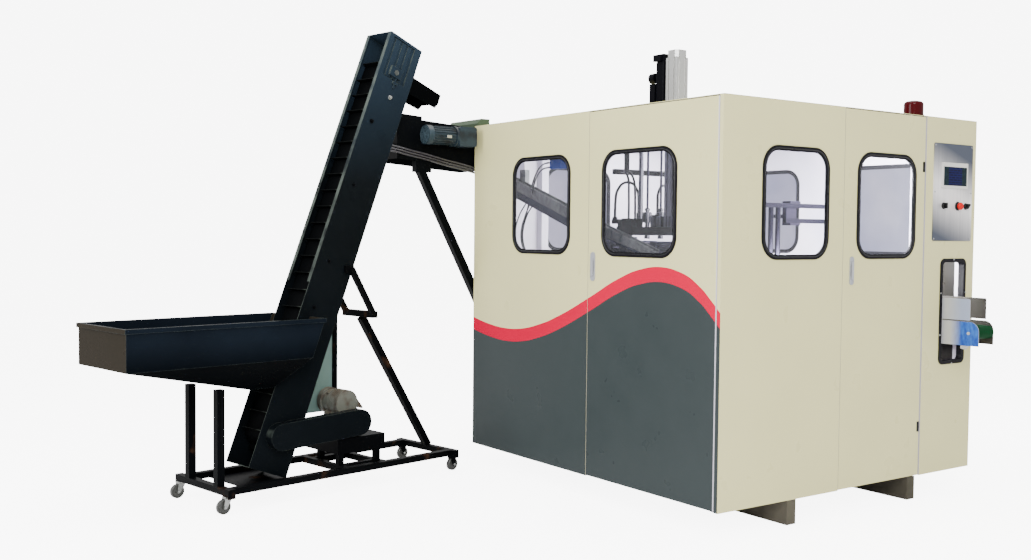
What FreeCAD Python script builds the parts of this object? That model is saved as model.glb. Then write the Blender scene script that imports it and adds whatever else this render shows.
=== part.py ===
import FreeCAD, Part
import math
import os

# Two-stage stretch blow moulding machine with its roller feeder and its wheeled
# hopper elevator.  Millimetres, +Z up.  Everything is drawn in the corner frame:
# X runs to the right along the cabinet's front face, Y runs back along its left
# face and Z is measured from the floor.  The last section moves the whole model
# so that its origin is the middle of its box on the floor.

V = FreeCAD.Vector
os.makedirs("parts", exist_ok=True)

# ---------------------------------------------------------------- dimensions
WIDTH = 1950.0            # cabinet along X
DEPTH = 2040.0            # cabinet along Y
SHELL_LOW = 120.0         # underside of the shell
SHELL_TOP = 2020.0        # top of the roof sheet
SHEET = 3.0               # cabinet sheet thickness
PAN = 24.0                # depth of a door or fixed panel with its flanges
TUBE = 50.0               # square tube of the cabinet frame
FRAME_INSET = 27.0        # frame tube behind the outer face of doors and pans
SEAM = 3.0                # gap between neighbouring panels

DOOR_LEFT = (28.0, 952.0)         # left door along Y, hinged at its low end
DOOR_FRONT = (842.0, 1500.0)      # front door along X, hinged at its high end
DOOR_LOW, DOOR_HIGH = 124.0, 2013.0
STILE_R = PAN / 2         # the hinge stile is a half round about the hinge axis
HINGE_Z = (355.0, 1725.0) # underside of each front door hinge
HINGE_TALL = 54.0
PIN_R = 5.0
RUN_GAP = 0.3             # clearance between parts that move past each other

WINDOW_Z = (1272.0, 1808.0)
WINDOW_R = 105.0
GASKET = 24.0             # visible width of the rubber gasket
GASKET_LIP = 10.0         # overlap of the gasket on the sheet
GASKET_PROUD = 4.0
PANE = 3.0
WINDOWS_LEFT_REAR = (1107.0, 1637.0)
WINDOW_LEFT_DOOR = (295.0, 846.0)
WINDOW_FRONT_LEFT = (255.0, 727.0)
WINDOW_FRONT_DOOR = (940.0, 1417.0)
WINDOW_BACK = (524.0, 1054.0)
WINDOWS_RIGHT = ((295.0, 846.0), (1225.0, 1755.0))

COLUMN_LOW_X = 1503.0     # left edge of the control column
OUTFEED_X = (1655.0, 1870.0)
OUTFEED_Z = (708.0, 1262.0)
OUTFEED_R = 26.0
HMI_X = (1565.0, 1917.0)
HMI_Z = (1365.0, 1885.0)
SCREEN_X = (1633.0, 1865.0)
SCREEN_Z = (1647.0, 1784.0)
CONTROL_Z = 1553.0
SELECTOR_LEFT_X, ESTOP_X, SELECTOR_RIGHT_X = 1658.0, 1785.0, 1859.0
ROOF_OPENING = (200.0, 620.0, 620.0, 1000.0)   # X low, high, Y low, high
INFEED_X = 300.0          # centre of the preform infeed rail
INFEED_HOLE = (235.0, 365.0, 1590.0, 1850.0)   # X low, high, Z low, high in the back wall

RIGHT_SEAMS = (25.0, 952.0, 1104.0)      # seams of the right side along Y
BACK_SEAMS = (470.0, 1128.0)             # seams of the back along X
ROOF_SEAM = 1180.0                       # seam of the roof along Y
GROOVE = 1.5                             # depth of a seam in the rear sheets
LOUVRES = ((1190.0, 300.0), (1600.0, 300.0))    # low corner (X, Z) of each louvre bank

SKID_X = (468.0, 1403.0)
SKID_WIDTH = 62.0


# ------------------------------------------------------------------- helpers
def box(x, y, z):
    """Box from three (low, high) pairs."""
    return Part.makeBox(x[1] - x[0], y[1] - y[0], z[1] - z[0], V(x[0], y[0], z[0]))


def rod(start, end, radius):
    """Round bar between two points."""
    start, end = V(*start), V(*end)
    return Part.makeCylinder(radius, (end - start).Length, start, end - start)


def place(axis, a, b, level):
    """Point with in-plane coordinates a and b, and level along the axis."""
    return {"x": V(level, a, b), "y": V(a, level, b), "z": V(a, b, level)}[axis]


def outline(points, axis, level, radius=0.0):
    """Closed wire through (a, b) points, or (a, b, r) for a corner of its own."""
    corners = []
    count = len(points)
    for index, point in enumerate(points):
        corner = place(axis, point[0], point[1], level)
        round_by = point[2] if len(point) > 2 else radius
        if not round_by:
            corners.append((corner, None, corner))
            continue
        before = points[index - 1]
        after = points[(index + 1) % count]
        back = (place(axis, before[0], before[1], level) - corner).normalize()
        ahead = (place(axis, after[0], after[1], level) - corner).normalize()
        half = back.getAngle(ahead) / 2
        reach = round_by / math.tan(half)
        inward = V(back + ahead).normalize()
        middle = corner + inward * (round_by / math.sin(half) - round_by)
        corners.append((corner + back * reach, middle, corner + ahead * reach))
    edges = []
    for index, (start, middle, end) in enumerate(corners):
        if middle is not None:
            edges.append(Part.Arc(start, middle, end).toShape())
        following = corners[(index + 1) % count][0]
        if end.distanceToPoint(following) > 1e-5:
            edges.append(Part.makeLine(end, following))
    return Part.Wire(edges)


def prism(points, axis, low, high, radius=0.0):
    """Outline drawn across an axis and extruded along it."""
    face = Part.Face(outline(points, axis, low, radius))
    return face.extrude(place(axis, 0, 0, high - low))


def rectangle(a, b, grow=0.0):
    """Corner points of a rectangle from two (low, high) pairs."""
    return [(a[0] - grow, b[0] - grow), (a[1] + grow, b[0] - grow),
            (a[1] + grow, b[1] + grow), (a[0] - grow, b[1] + grow)]


def square_tube(start, end, size, wall, up):
    """Hollow square bar between two points, with two sides facing up."""
    start, end, up = V(*start), V(*end), V(*up)
    along = (end - start).normalize()
    side = along.cross(up).normalize()
    up = side.cross(along).normalize()

    def bar(half):
        corners = [start + side * a * half + up * b * half
                   for a, b in ((-1, -1), (1, -1), (1, 1), (-1, 1))]
        return Part.Face(Part.makePolygon(corners + corners[:1])).extrude(end - start)

    return bar(size / 2).cut(bar(size / 2 - wall))


def revolve(profile, centre, axis=(0, 0, 1)):
    """Solid of (radius, height) points turned about an axis through the centre."""
    points = [V(r, 0, h) for r, h in profile]
    face = Part.Face(Part.makePolygon(points + points[:1]))
    solid = face.revolve(V(0, 0, 0), V(0, 0, 1), 360)
    solid.Placement = FreeCAD.Placement(V(*centre), FreeCAD.Rotation(V(0, 0, 1), V(*axis)))
    return solid


def fuse(shapes):
    """One shape from many, with its inner seams taken out."""
    shapes = list(shapes)
    if len(shapes) == 1:
        return shapes[0]
    return shapes[0].multiFuse(shapes[1:]).removeSplitter()


def hose(points, diameter):
    """Tube of straight runs joined by tangent arcs; prints its tightest bend."""
    points = [V(*p) for p in points]
    edges, tightest = [], None
    at = points[0]
    for before, corner, after in zip(points, points[1:], points[2:]):
        back, ahead = before - corner, after - corner
        shorter = min(back.Length, ahead.Length)
        back, ahead = V(back).normalize(), V(ahead).normalize()
        half = back.getAngle(ahead) / 2
        reach = 0.45 * shorter
        radius = reach * math.tan(half)
        tightest = radius if tightest is None else min(tightest, radius)
        start, end = corner + back * reach, corner + ahead * reach
        inward = V(back + ahead).normalize()
        middle = corner + inward * (radius / math.sin(half) - radius)
        edges.append(Part.makeLine(at, start))
        edges.append(Part.Arc(start, middle, end).toShape())
        at = end
    edges.append(Part.makeLine(at, points[-1]))
    path = Part.Wire(edges)
    ring = Part.Wire(Part.makeCircle(diameter / 2, points[0], points[1] - points[0]))
    tube = path.makePipeShell([ring], True, False)
    ideal = math.pi * diameter ** 2 / 4 * path.Length
    print(f"hose {diameter:g}: length {path.Length:.0f}, tightest bend {tightest or 0:.0f}, "
          f"volume against ideal {tube.Volume / ideal:.4f}")
    return tube


nodes = {}


def keep(name, shape):
    """Store a finished piece under its name, or add it to what is there."""
    nodes[name] = Part.Compound([nodes[name], shape]) if name in nodes else shape


# ------------------------------------------------------------------- cabinet
def window_cut(axis, outer, along):
    """Hole in a sheet for one gasket; outer is the sheet's outside level."""
    inset = GASKET_LIP
    return prism(rectangle(along, WINDOW_Z, -inset), axis, outer - PAN, outer + PAN,
                 WINDOW_R - inset)


def gasket(axis, outer, inward, along):
    """Rubber gasket that clips over the sheet's edge and holds the pane."""
    def ring(low, high, grow_out, grow_in):
        levels = sorted((outer + inward * low, outer + inward * high))
        solid = prism(rectangle(along, WINDOW_Z, -grow_out), axis, *levels, WINDOW_R - grow_out)
        hole = prism(rectangle(along, WINDOW_Z, -grow_in), axis, *levels, WINDOW_R - grow_in)
        return solid.cut(hole)

    return fuse([ring(-GASKET_PROUD, 0, 0, GASKET),
                 ring(0, SHEET, GASKET_LIP, GASKET - 7),
                 ring(SHEET, SHEET + GASKET_PROUD, 0, GASKET)])


def pane(axis, outer, inward, along):
    """Clear sheet held in the gasket's groove."""
    levels = sorted((outer, outer + inward * PANE))
    return prism(rectangle(along, WINDOW_Z, 7 - GASKET), axis, *levels, WINDOW_R - GASKET + 7)


def pan(axis, outer, inward, along, height, flanges="lrtb", depth=PAN):
    """Sheet with folded flanges on the named edges: left, right, top, bottom."""
    def slab(a, b, low, high):
        return prism(rectangle(a, b), axis, *sorted((outer + inward * low, outer + inward * high)))

    pieces = [slab(along, height, 0, SHEET)]
    if "l" in flanges:
        pieces.append(slab((along[0], along[0] + SHEET), height, 0, depth))
    if "r" in flanges:
        pieces.append(slab((along[1] - SHEET, along[1]), height, 0, depth))
    if "b" in flanges:
        pieces.append(slab(along, (height[0], height[0] + SHEET), 0, depth))
    if "t" in flanges:
        pieces.append(slab(along, (height[1] - SHEET, height[1]), 0, depth))
    return fuse(pieces)


def build_skids():
    """Two long beams under the shell, with two cross-feet."""
    pieces = []
    for x in SKID_X:
        pieces.append(box((x, x + SKID_WIDTH), (0, DEPTH), (0, SHELL_LOW)))
    for y in (530.0, 1225.0):
        pieces.append(box((270, 1690), (y, y + 100), (85, SHELL_LOW)))
    keep("skid_beams", fuse(pieces))


FRONT_POSTS = (815.0, 1477.0)
BACK_POST, LEFT_POST = 465.0, 930.0
ROOF_BARS = (730.0, 1300.0)
BED = 12.0                # thickness of the bed plate


def build_frame():
    """Square-tube frame and bed plate, each member cut to length between the posts."""
    low, high = SHELL_LOW, SHELL_TOP - SHEET
    left, front = FRAME_INSET, FRAME_INSET
    right, back = WIDTH - SHEET, DEPTH - SHEET
    far_x, far_y = right - TUBE, back - TUBE
    in_front = [left, *FRONT_POSTS, far_x]
    in_back = [left, BACK_POST, far_x]
    at_left = [front, LEFT_POST, far_y]
    posts = [(x, front) for x in in_front] + [(x, far_y) for x in in_back]
    posts += [(left, LEFT_POST)]
    members = [box((x, x + TUBE), (y, y + TUBE), (low, high)) for x, y in posts]
    for z in (low, high - TUBE):
        level = (z, z + TUBE)
        for y, row in ((front, in_front), (far_y, in_back)):
            for a, b in zip(row, row[1:]):
                members.append(box((a + TUBE, b), (y, y + TUBE), level))
        for a, b in zip(at_left, at_left[1:]):
            members.append(box((left, left + TUBE), (a + TUBE, b), level))
        members.append(box((far_x, right), (front + TUBE, far_y), level))
    members.append(box((left + TUBE, far_x), (front + TUBE, far_y), (low, low + BED)))
    for x in ROOF_BARS:
        members.append(box((x, x + TUBE), (front + TUBE, far_y), (high - TUBE, high)))
    keep("cabinet_frame", Part.Compound(members))


LEFT_AXIS = (STILE_R, DOOR_LEFT[0] + STILE_R)
FRONT_AXIS = (DOOR_FRONT[1] - STILE_R, STILE_R)


def door_leaf(axis, hinge, far, window):
    """Pan with a half-round hinge stile; hinge and far are its two ends."""
    low, high = DOOR_LOW, DOOR_HIGH
    ends = sorted((hinge, far))
    slab = box(*((0, PAN), ends, (low, high)) if axis == "x" else (ends, (0, PAN), (low, high)))
    toward = math.copysign(1, far - hinge)
    inside = sorted((hinge + toward * PAN, far - toward * SHEET))
    room = (SHEET, PAN + 1)
    tall = (low + SHEET, high - SHEET)
    slab = slab.cut(box(*((room, inside, tall) if axis == "x" else (inside, room, tall))))
    middle = hinge + toward * STILE_R
    depth, spare, full = (0, PAN), sorted((hinge, middle)), (low, high)
    slab = slab.cut(box(*((depth, spare, full) if axis == "x" else (spare, depth, full))))
    at = (STILE_R, middle) if axis == "x" else (middle, STILE_R)
    return fuse([slab, rod((*at, low), (*at, high), STILE_R)]).cut(window_cut(axis, 0, window))


def build_hinges():
    """Pins at the foot and head of the left door, barrels on the front door."""
    pieces = []
    for low, high in ((SHELL_LOW + 0.5, DOOR_LOW + 22), (DOOR_HIGH - 22, SHELL_TOP - SHEET)):
        pieces.append(rod((*LEFT_AXIS, low), (*LEFT_AXIS, high), PIN_R))
    pieces[0] = fuse([pieces[0], box((STILE_R - 8, FRAME_INSET), (DOOR_LEFT[0] + 4, DOOR_LEFT[0] + 20),
                                     (SHELL_LOW + 0.5, DOOR_LOW - 1))])
    x, y = FRONT_AXIS
    for z in HINGE_Z:
        band = (z + RUN_GAP, z + HINGE_TALL - RUN_GAP)
        barrel = fuse([rod((x, y, band[0]), (x, y, band[1]), STILE_R + 1),
                       box((x, COLUMN_LOW_X + 1), (y + 3, y + 8), band)])
        pieces.append(barrel.cut(rod((x, y, z - 1), (x, y, z + HINGE_TALL + 1), PIN_R + 0.05)))
    keep("hinge_leaves", Part.Compound(pieces))


def build_shell():
    """Fixed sheets of the cabinet, with their windows."""
    height = (SHELL_LOW, SHELL_TOP - SHEET)
    rear = pan("x", 0, 1, (DOOR_LEFT[1] + SEAM, DEPTH), height, "ltb", FRAME_INSET)
    rear = rear.cut(window_cut("x", 0, WINDOWS_LEFT_REAR))
    rear = rear.cut(box((SHEET, FRAME_INSET + 1), (DEPTH - SHEET, DEPTH + 1), (0, SHELL_TOP)))
    strip = pan("x", 0, 1, (SHEET, DOOR_LEFT[0] - SEAM), height, "", FRAME_INSET)
    strip = fuse([strip, box((0, FRAME_INSET), (DOOR_LEFT[0] - SEAM - SHEET, DOOR_LEFT[0] - SEAM),
                             (height[0] + SHEET, height[1] - SHEET))])
    keep("left_panels", Part.Compound([rear, strip]))

    left = pan("y", 0, 1, (0, DOOR_FRONT[0] - SEAM), height, "rtb", FRAME_INSET)
    left = left.cut(window_cut("y", 0, WINDOW_FRONT_LEFT))
    left = left.cut(box((-1, SHEET), (SHEET, FRAME_INSET + 1), (0, SHELL_TOP)))
    column = pan("y", 0, 1, (COLUMN_LOW_X + 1, WIDTH), height, "ltb", FRAME_INSET)
    column = column.cut(prism(rectangle(OUTFEED_X, OUTFEED_Z, -6), "y", -9, 99, OUTFEED_R))
    column = column.cut(prism(rectangle(HMI_X, HMI_Z, -12), "y", -9, 99))
    column = column.cut(box((WIDTH - SHEET, WIDTH + 1), (SHEET, FRAME_INSET + 1), (0, SHELL_TOP)))
    keep("front_panels", Part.Compound([left, column]))

    groove = (SHEET - GROOVE, SHEET + 1)
    right = box((WIDTH - SHEET, WIDTH), (SHEET, DEPTH - SHEET), height)
    for y in RIGHT_SEAMS:
        right = right.cut(box([WIDTH - SHEET + g for g in groove], (y, y + SEAM), height))
    for span in WINDOWS_RIGHT:
        right = right.cut(window_cut("x", WIDTH, span))
    back = box((SHEET, WIDTH), (DEPTH - SHEET, DEPTH), height)
    back = back.cut(window_cut("y", DEPTH, WINDOW_BACK))
    for x in BACK_SEAMS:
        back = back.cut(box((x, x + SEAM), [DEPTH - SHEET + g for g in groove], height))
    for x, z in LOUVRES:
        for index in range(9):
            low = z + 24 * index
            back = back.cut(box((x, x + 220), (DEPTH - 9, DEPTH + 9), (low, low + 7)))
    back = back.cut(prism(rectangle(INFEED_HOLE[:2], INFEED_HOLE[2:]), "y", DEPTH - 9, DEPTH + 9, 12))
    roof = box((0, WIDTH), (0, DEPTH), (SHELL_TOP - SHEET, SHELL_TOP))
    x0, x1, y0, y1 = ROOF_OPENING
    roof = roof.cut(prism(rectangle((x0, x1), (y0, y1)), "z", SHELL_TOP - 9, SHELL_TOP + 9, 20))
    roof = roof.cut(box((SHEET, WIDTH - SHEET), (ROOF_SEAM, ROOF_SEAM + SEAM),
                        [SHELL_TOP - SHEET + g for g in groove]))
    keep("rear_and_roof_panels", Part.Compound([right, back, roof]))

    fixed = [("x", 0, 1, WINDOWS_LEFT_REAR), ("y", 0, 1, WINDOW_FRONT_LEFT),
             ("y", DEPTH, -1, WINDOW_BACK)]
    fixed += [("x", WIDTH, -1, span) for span in WINDOWS_RIGHT]
    keep("window_gaskets", Part.Compound([gasket(*place_) for place_ in fixed]))
    keep("window_panes", Part.Compound([pane(*place_) for place_ in fixed]))


def handle(axis, along, height):
    """Flush grip: an oval plate with a raised bar on two feet."""
    middle = sum(along) / 2
    half = (along[1] - along[0]) / 2
    low, high = height
    plate = stadium(axis, (middle, low + half), (middle, high - half), half, -5, 0)
    dish = stadium(axis, (middle, low + half), (middle, high - half), half - 4, -6, -3)
    bar = stadium(axis, (middle, low + 34), (middle, high - 34), 8, -11, -7)
    feet = [stadium(axis, (middle, z - 4), (middle, z + 4), 7, -8, -2) for z in (low + 36, high - 36)]
    return fuse([plate.cut(dish), bar] + feet)


def build_doors():
    """Hinged doors with their windows and flush grips."""
    left = door_leaf("x", DOOR_LEFT[0], DOOR_LEFT[1], WINDOW_LEFT_DOOR)
    left = left.cut(rod((*LEFT_AXIS, 0), (*LEFT_AXIS, DOOR_LOW + 22.5), PIN_R + 0.05))
    left = left.cut(rod((*LEFT_AXIS, DOOR_HIGH - 22.5), (*LEFT_AXIS, SHELL_TOP), PIN_R + 0.05))
    keep("left_door", left)
    keep("left_door_gasket", gasket("x", 0, 1, WINDOW_LEFT_DOOR))
    keep("left_door_pane", pane("x", 0, 1, WINDOW_LEFT_DOOR))
    keep("left_door_handle", handle("x", (893, 930), (1142, 1292)))

    front = door_leaf("y", DOOR_FRONT[1], DOOR_FRONT[0], WINDOW_FRONT_DOOR)
    x, y = FRONT_AXIS
    for z in HINGE_Z:
        notch = box((x - STILE_R - 3, x + STILE_R + 1), (-1, PAN + 1), (z, z + HINGE_TALL))
        front = fuse([front.cut(notch), rod((x, y, z - 1), (x, y, z + HINGE_TALL + 1), PIN_R)])
    keep("front_door", front)
    keep("front_door_gasket", gasket("y", 0, 1, WINDOW_FRONT_DOOR))
    keep("front_door_pane", pane("y", 0, 1, WINDOW_FRONT_DOOR))
    keep("front_door_handle", handle("y", (892, 923), (1144, 1285)))


# ------------------------------------------------------------- operator side
SELECTOR_R = 15.0
ESTOP_R = 20.0
ESTOP_STEM_R = 11.0
PLATE_OUT = 3.0           # the operator plate stands this far out of the column


def build_controls():
    """Operator plate with its box, touch screen, push button and selectors."""
    plate = prism(rectangle(HMI_X, HMI_Z), "y", -PLATE_OUT, 0, 12)
    inner_x, inner_z = (HMI_X[0] + 14, HMI_X[1] - 22), (HMI_Z[0] + 14, HMI_Z[1] - 14)
    shell = prism(rectangle(inner_x, inner_z), "y", 0, 110)
    shell = shell.cut(prism(rectangle(inner_x, inner_z, -3), "y", 0, 107))
    plate = fuse([plate, shell])
    for x, radius in ((ESTOP_X, ESTOP_STEM_R), (SELECTOR_LEFT_X, 11), (SELECTOR_RIGHT_X, 11)):
        plate = plate.cut(rod((x, -9, CONTROL_Z), (x, 9, CONTROL_Z), radius + RUN_GAP))
    keep("hmi_plate", plate)

    bezel = prism(rectangle(SCREEN_X, SCREEN_Z), "y", -PLATE_OUT - 7, -PLATE_OUT, 5)
    glass = (SCREEN_X[0] + 13, SCREEN_X[1] - 9), (SCREEN_Z[0] + 14, SCREEN_Z[1] - 22)
    bezel = bezel.cut(prism(rectangle(*glass), "y", -PLATE_OUT - 9, -PLATE_OUT - 5, 2))
    keep("touch_screen", bezel)

    collars = []
    for x, outer, inner in ((ESTOP_X, 24, ESTOP_STEM_R), (SELECTOR_LEFT_X, 18, 11),
                            (SELECTOR_RIGHT_X, 18, 11)):
        ring = revolve([(inner + RUN_GAP, 0), (outer, 0), (outer, 3), (outer - 3, 6),
                        (inner + RUN_GAP, 6)], (x, -PLATE_OUT, CONTROL_Z), (0, -1, 0))
        collars.append(ring)
    keep("control_collars", Part.Compound(collars))

    out = -PLATE_OUT
    cap = revolve([(0, 14), (ESTOP_R, 14), (ESTOP_R, 22), (16, 27), (9, 30), (0, 31)],
                  (ESTOP_X, out, CONTROL_Z), (0, -1, 0))
    stem = rod((ESTOP_X, 12, CONTROL_Z), (ESTOP_X, out - 14, CONTROL_Z), ESTOP_STEM_R)
    keep("estop_button", fuse([cap, stem]))

    for name, x, lean in (("selector_left", SELECTOR_LEFT_X, 0.0),
                          ("selector_right", SELECTOR_RIGHT_X, 45.0)):
        disc = rod((x, out - 6 - RUN_GAP, CONTROL_Z), (x, out - 12, CONTROL_Z), SELECTOR_R)
        bar = box((x - 4.5, x + 4.5), (out - 24, out - 12), (CONTROL_Z - 14, CONTROL_Z + 16))
        bar.rotate(V(x, 0, CONTROL_Z), V(0, 1, 0), lean)
        stem = rod((x, 12, CONTROL_Z), (x, out - 7, CONTROL_Z), 11)
        keep(name, fuse([disc, bar, stem]))

    x, y = 1480.0, 70.0
    shoulder, crown = 18.0, 84.0
    arc = [(50 - shoulder + shoulder * math.cos(math.radians(a)),
            crown - 4 - shoulder + shoulder * math.sin(math.radians(a))) for a in range(0, 76, 15)]
    profile = [(0, 0), (54, 0), (54, 8), (50, 8)] + arc + [(16, crown - 1), (0, crown)]
    keep("warning_beacon", revolve(profile, (x, y, SHELL_TOP)))


# ------------------------------------------------------------------- outfeed
ROLLER_Y, ROLLER_Z, ROLLER_R = -165.0, 881.0, 31.0
NOSE_Y = 420.0
BELT_THICK = 3.0
SIDE_X = ((1668.0, 1672.0), (1848.0, 1852.0))      # near and far side plates
BELT_X = (1677.0, 1843.0)


def stadium(axis, start, end, radius, low, high):
    """Slab with two straight sides and two half-round ends."""
    (a0, b0), (a1, b1) = start, end
    length = math.hypot(a1 - a0, b1 - b0)
    na, nb = -(b1 - b0) / length * radius, (a1 - a0) / length * radius
    ta, tb = (a1 - a0) / length * radius, (b1 - b0) / length * radius
    edges = [
        Part.makeLine(place(axis, a0 + na, b0 + nb, low), place(axis, a1 + na, b1 + nb, low)),
        Part.Arc(place(axis, a1 + na, b1 + nb, low), place(axis, a1 + ta, b1 + tb, low),
                 place(axis, a1 - na, b1 - nb, low)).toShape(),
        Part.makeLine(place(axis, a1 - na, b1 - nb, low), place(axis, a0 - na, b0 - nb, low)),
        Part.Arc(place(axis, a0 - na, b0 - nb, low), place(axis, a0 - ta, b0 - tb, low),
                 place(axis, a0 + na, b0 + nb, low)).toShape(),
    ]
    return Part.Face(Part.Wire(edges)).extrude(place(axis, 0, 0, high - low))


def build_outfeed():
    """Discharge opening with its frame, side plates, belt and end roller."""
    outer = prism(rectangle(OUTFEED_X, OUTFEED_Z, 8), "y", -5, 0, OUTFEED_R + 8)
    sleeve = prism(rectangle(OUTFEED_X, OUTFEED_Z, -6), "y", 0, 30, OUTFEED_R)
    hole = prism(rectangle(OUTFEED_X, OUTFEED_Z, -12), "y", -9, 40, OUTFEED_R - 6)
    keep("outfeed_trim", fuse([outer, sleeve]).cut(hole))

    plates = []
    for (x0, x1), upper, lower in ((SIDE_X[0], -168, -221), (SIDE_X[1], -147, -192)):
        end = NOSE_Y + 40
        plates.append(prism([(lower, 815), (end, 815), (end, 941), (lower, 941, 52)], "x", x0, x1))
        plates.append(prism([(upper, 949), (end, 949), (end, 1061), (upper, 1061, 8)], "x", x0, x1))
        inner = x1 if x1 < 1700 else x0 - 3
        plates += [box((inner, inner + 3), (y, y + 30), (925, 970)) for y in (60, 380)]
    nose = rod((SIDE_X[0][1], NOSE_Y, ROLLER_Z), (SIDE_X[1][0], NOSE_Y, ROLLER_Z), ROLLER_R)
    ties = [rod((SIDE_X[0][1], y, ROLLER_Z), (SIDE_X[1][0], y, ROLLER_Z), 9) for y in (40, 260)]
    axle = rod((SIDE_X[0][0] - 6, ROLLER_Y, ROLLER_Z), (SIDE_X[1][1] + 6, ROLLER_Y, ROLLER_Z), 8)
    gusset = prism([(-170, 815), (-128, 815), (-128, 800), (-150, 796)], "x",
                   SIDE_X[0][0] - 16, SIDE_X[0][0])
    legs = [box((x0, x1), (300, 360), (SHELL_LOW + 12, 815)) for x0, x1 in
            ((SIDE_X[0][0], SIDE_X[0][0] + 8), (SIDE_X[1][0], SIDE_X[1][0] + 8))]
    keep("outfeed_plates", fuse(plates + [nose, axle, gusset] + ties + legs))

    path = (ROLLER_Y, ROLLER_Z), (NOSE_Y, ROLLER_Z)
    inner = stadium("x", *path, ROLLER_R + RUN_GAP, *BELT_X)
    outer = stadium("x", *path, ROLLER_R + RUN_GAP + BELT_THICK, *BELT_X)
    keep("outfeed_belt", outer.cut(inner))
    roller = rod((BELT_X[0] - 2, ROLLER_Y, ROLLER_Z), (BELT_X[1] + 2, ROLLER_Y, ROLLER_Z), ROLLER_R)
    bore = rod((1600, ROLLER_Y, ROLLER_Z), (1900, ROLLER_Y, ROLLER_Z), 8 + 0.05)
    keep("outfeed_roller", roller.cut(bore))


# -------------------------------------------------------------- blow station
CAVITY_X = (350.0, 445.0)
PARTING_Y = 890.0
MOULD_Z = (1000.0, 1340.0)
MOULD_X = (278.0, 517.0)
MOULD_DEEP = 100.0
MOULD_OPEN = 60.0
PLATEN_X = (225.0, 570.0)
PLATEN_THICK = 40.0
TIE_X, TIE_Z, TIE_R = (250.0, 545.0), (1030.0, 1318.0), 15.0
END_Y = ((520.0, 550.0), (1230.0, 1260.0))
TABLE_Z = (900.0, 930.0)
MANIFOLD_Z = (1380.0, 1425.0)
PROFILE_X, PROFILE_Y = (357.0, 437.0), (690.0, 770.0)
PROFILE_Z = (1480.0, 2302.0)
CAP_TOP = 2340.0
GUIDE_X, GUIDE_R = (302.0, 500.0), 12.5
CARRIAGE_Z = (1900.0, 1935.0)
STRETCH_R = 6.0
ACTUATOR = (367.0, 427.0, 800.0, 860.0, 1955.0, 2290.0)


def bottle_cut(x, y):
    """Hollow of one bottle, with its waist and neck."""
    bottom = MOULD_Z[0] + 12
    profile = [(0, bottom), (30, bottom), (34, bottom + 8), (34, bottom + 95), (31, bottom + 110),
               (31, bottom + 130), (34, bottom + 145), (34, bottom + 215), (24, bottom + 262),
               (14, bottom + 296), (14, MOULD_Z[1] + 1), (0, MOULD_Z[1] + 1)]
    return revolve(profile, (x, y, 0))


def build_press():
    """Table, end plates, tie bars, mould halves and base mould."""
    pieces = [box((200, 595), (500, 1280), TABLE_Z)]
    for x in (210.0, 545.0):
        for y in (505.0, 1235.0):
            pieces.append(box((x, x + 40), (y, y + 40), (SHELL_LOW + 12, TABLE_Z[0])))
    for band in END_Y:
        pieces.append(box((215, 580), band, (TABLE_Z[1], 1370)))
    for x in ((188.0, 216.0), (579.0, 607.0)):
        pieces.append(box(x, (856, 924), (TABLE_Z[1], MANIFOLD_Z[0])))
        pieces.append(box((min(x[0], 200), max(x[1], 595)), (856, 924), TABLE_Z))
    table = fuse(pieces)
    for x in CAVITY_X:
        table = table.cut(rod((x, PARTING_Y, 800), (x, PARTING_Y, 1000), 20 + RUN_GAP))
    keep("press_frame", table)
    bars = [rod((x, END_Y[0][1], z), (x, END_Y[1][0], z), TIE_R) for x in TIE_X for z in TIE_Z]
    keep("chrome_rods", Part.Compound(bars))

    for name, away in (("front_mould", -1), ("rear_mould", 1)):
        face = PARTING_Y + away * MOULD_OPEN
        back = face + away * MOULD_DEEP
        block = prism(rectangle(MOULD_X, MOULD_Z), "y", *sorted((face, back)))
        for x in CAVITY_X:
            block = block.cut(bottle_cut(x, face))
        for z in (1080, 1170, 1260):
            block = block.cut(rod((MOULD_X[0] - 1, back - away * 30, z),
                                  (MOULD_X[0] + 40, back - away * 30, z), 9))
        platen = box(PLATEN_X, sorted((back, back + away * PLATEN_THICK)), (985, 1350))
        half = fuse([block, platen])
        for x in TIE_X:
            for z in TIE_Z:
                half = half.cut(rod((x, 400, z), (x, 1400, z), TIE_R + RUN_GAP))
        keep(name, half)

    base = box((310, 485), (862, 918), (930.3, 960))
    shafts = [rod((x, PARTING_Y, 780), (x, PARTING_Y, 931), 20) for x in CAVITY_X]
    domes = [revolve([(0, -1), (28, -1), (28, 4), (14, 10), (0, 12)], (x, PARTING_Y, 960))
             for x in CAVITY_X]
    yoke = box((310, 485), (870, 910), (760, 781))
    keep("base_mould", fuse([base, yoke] + shafts + domes))


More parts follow.
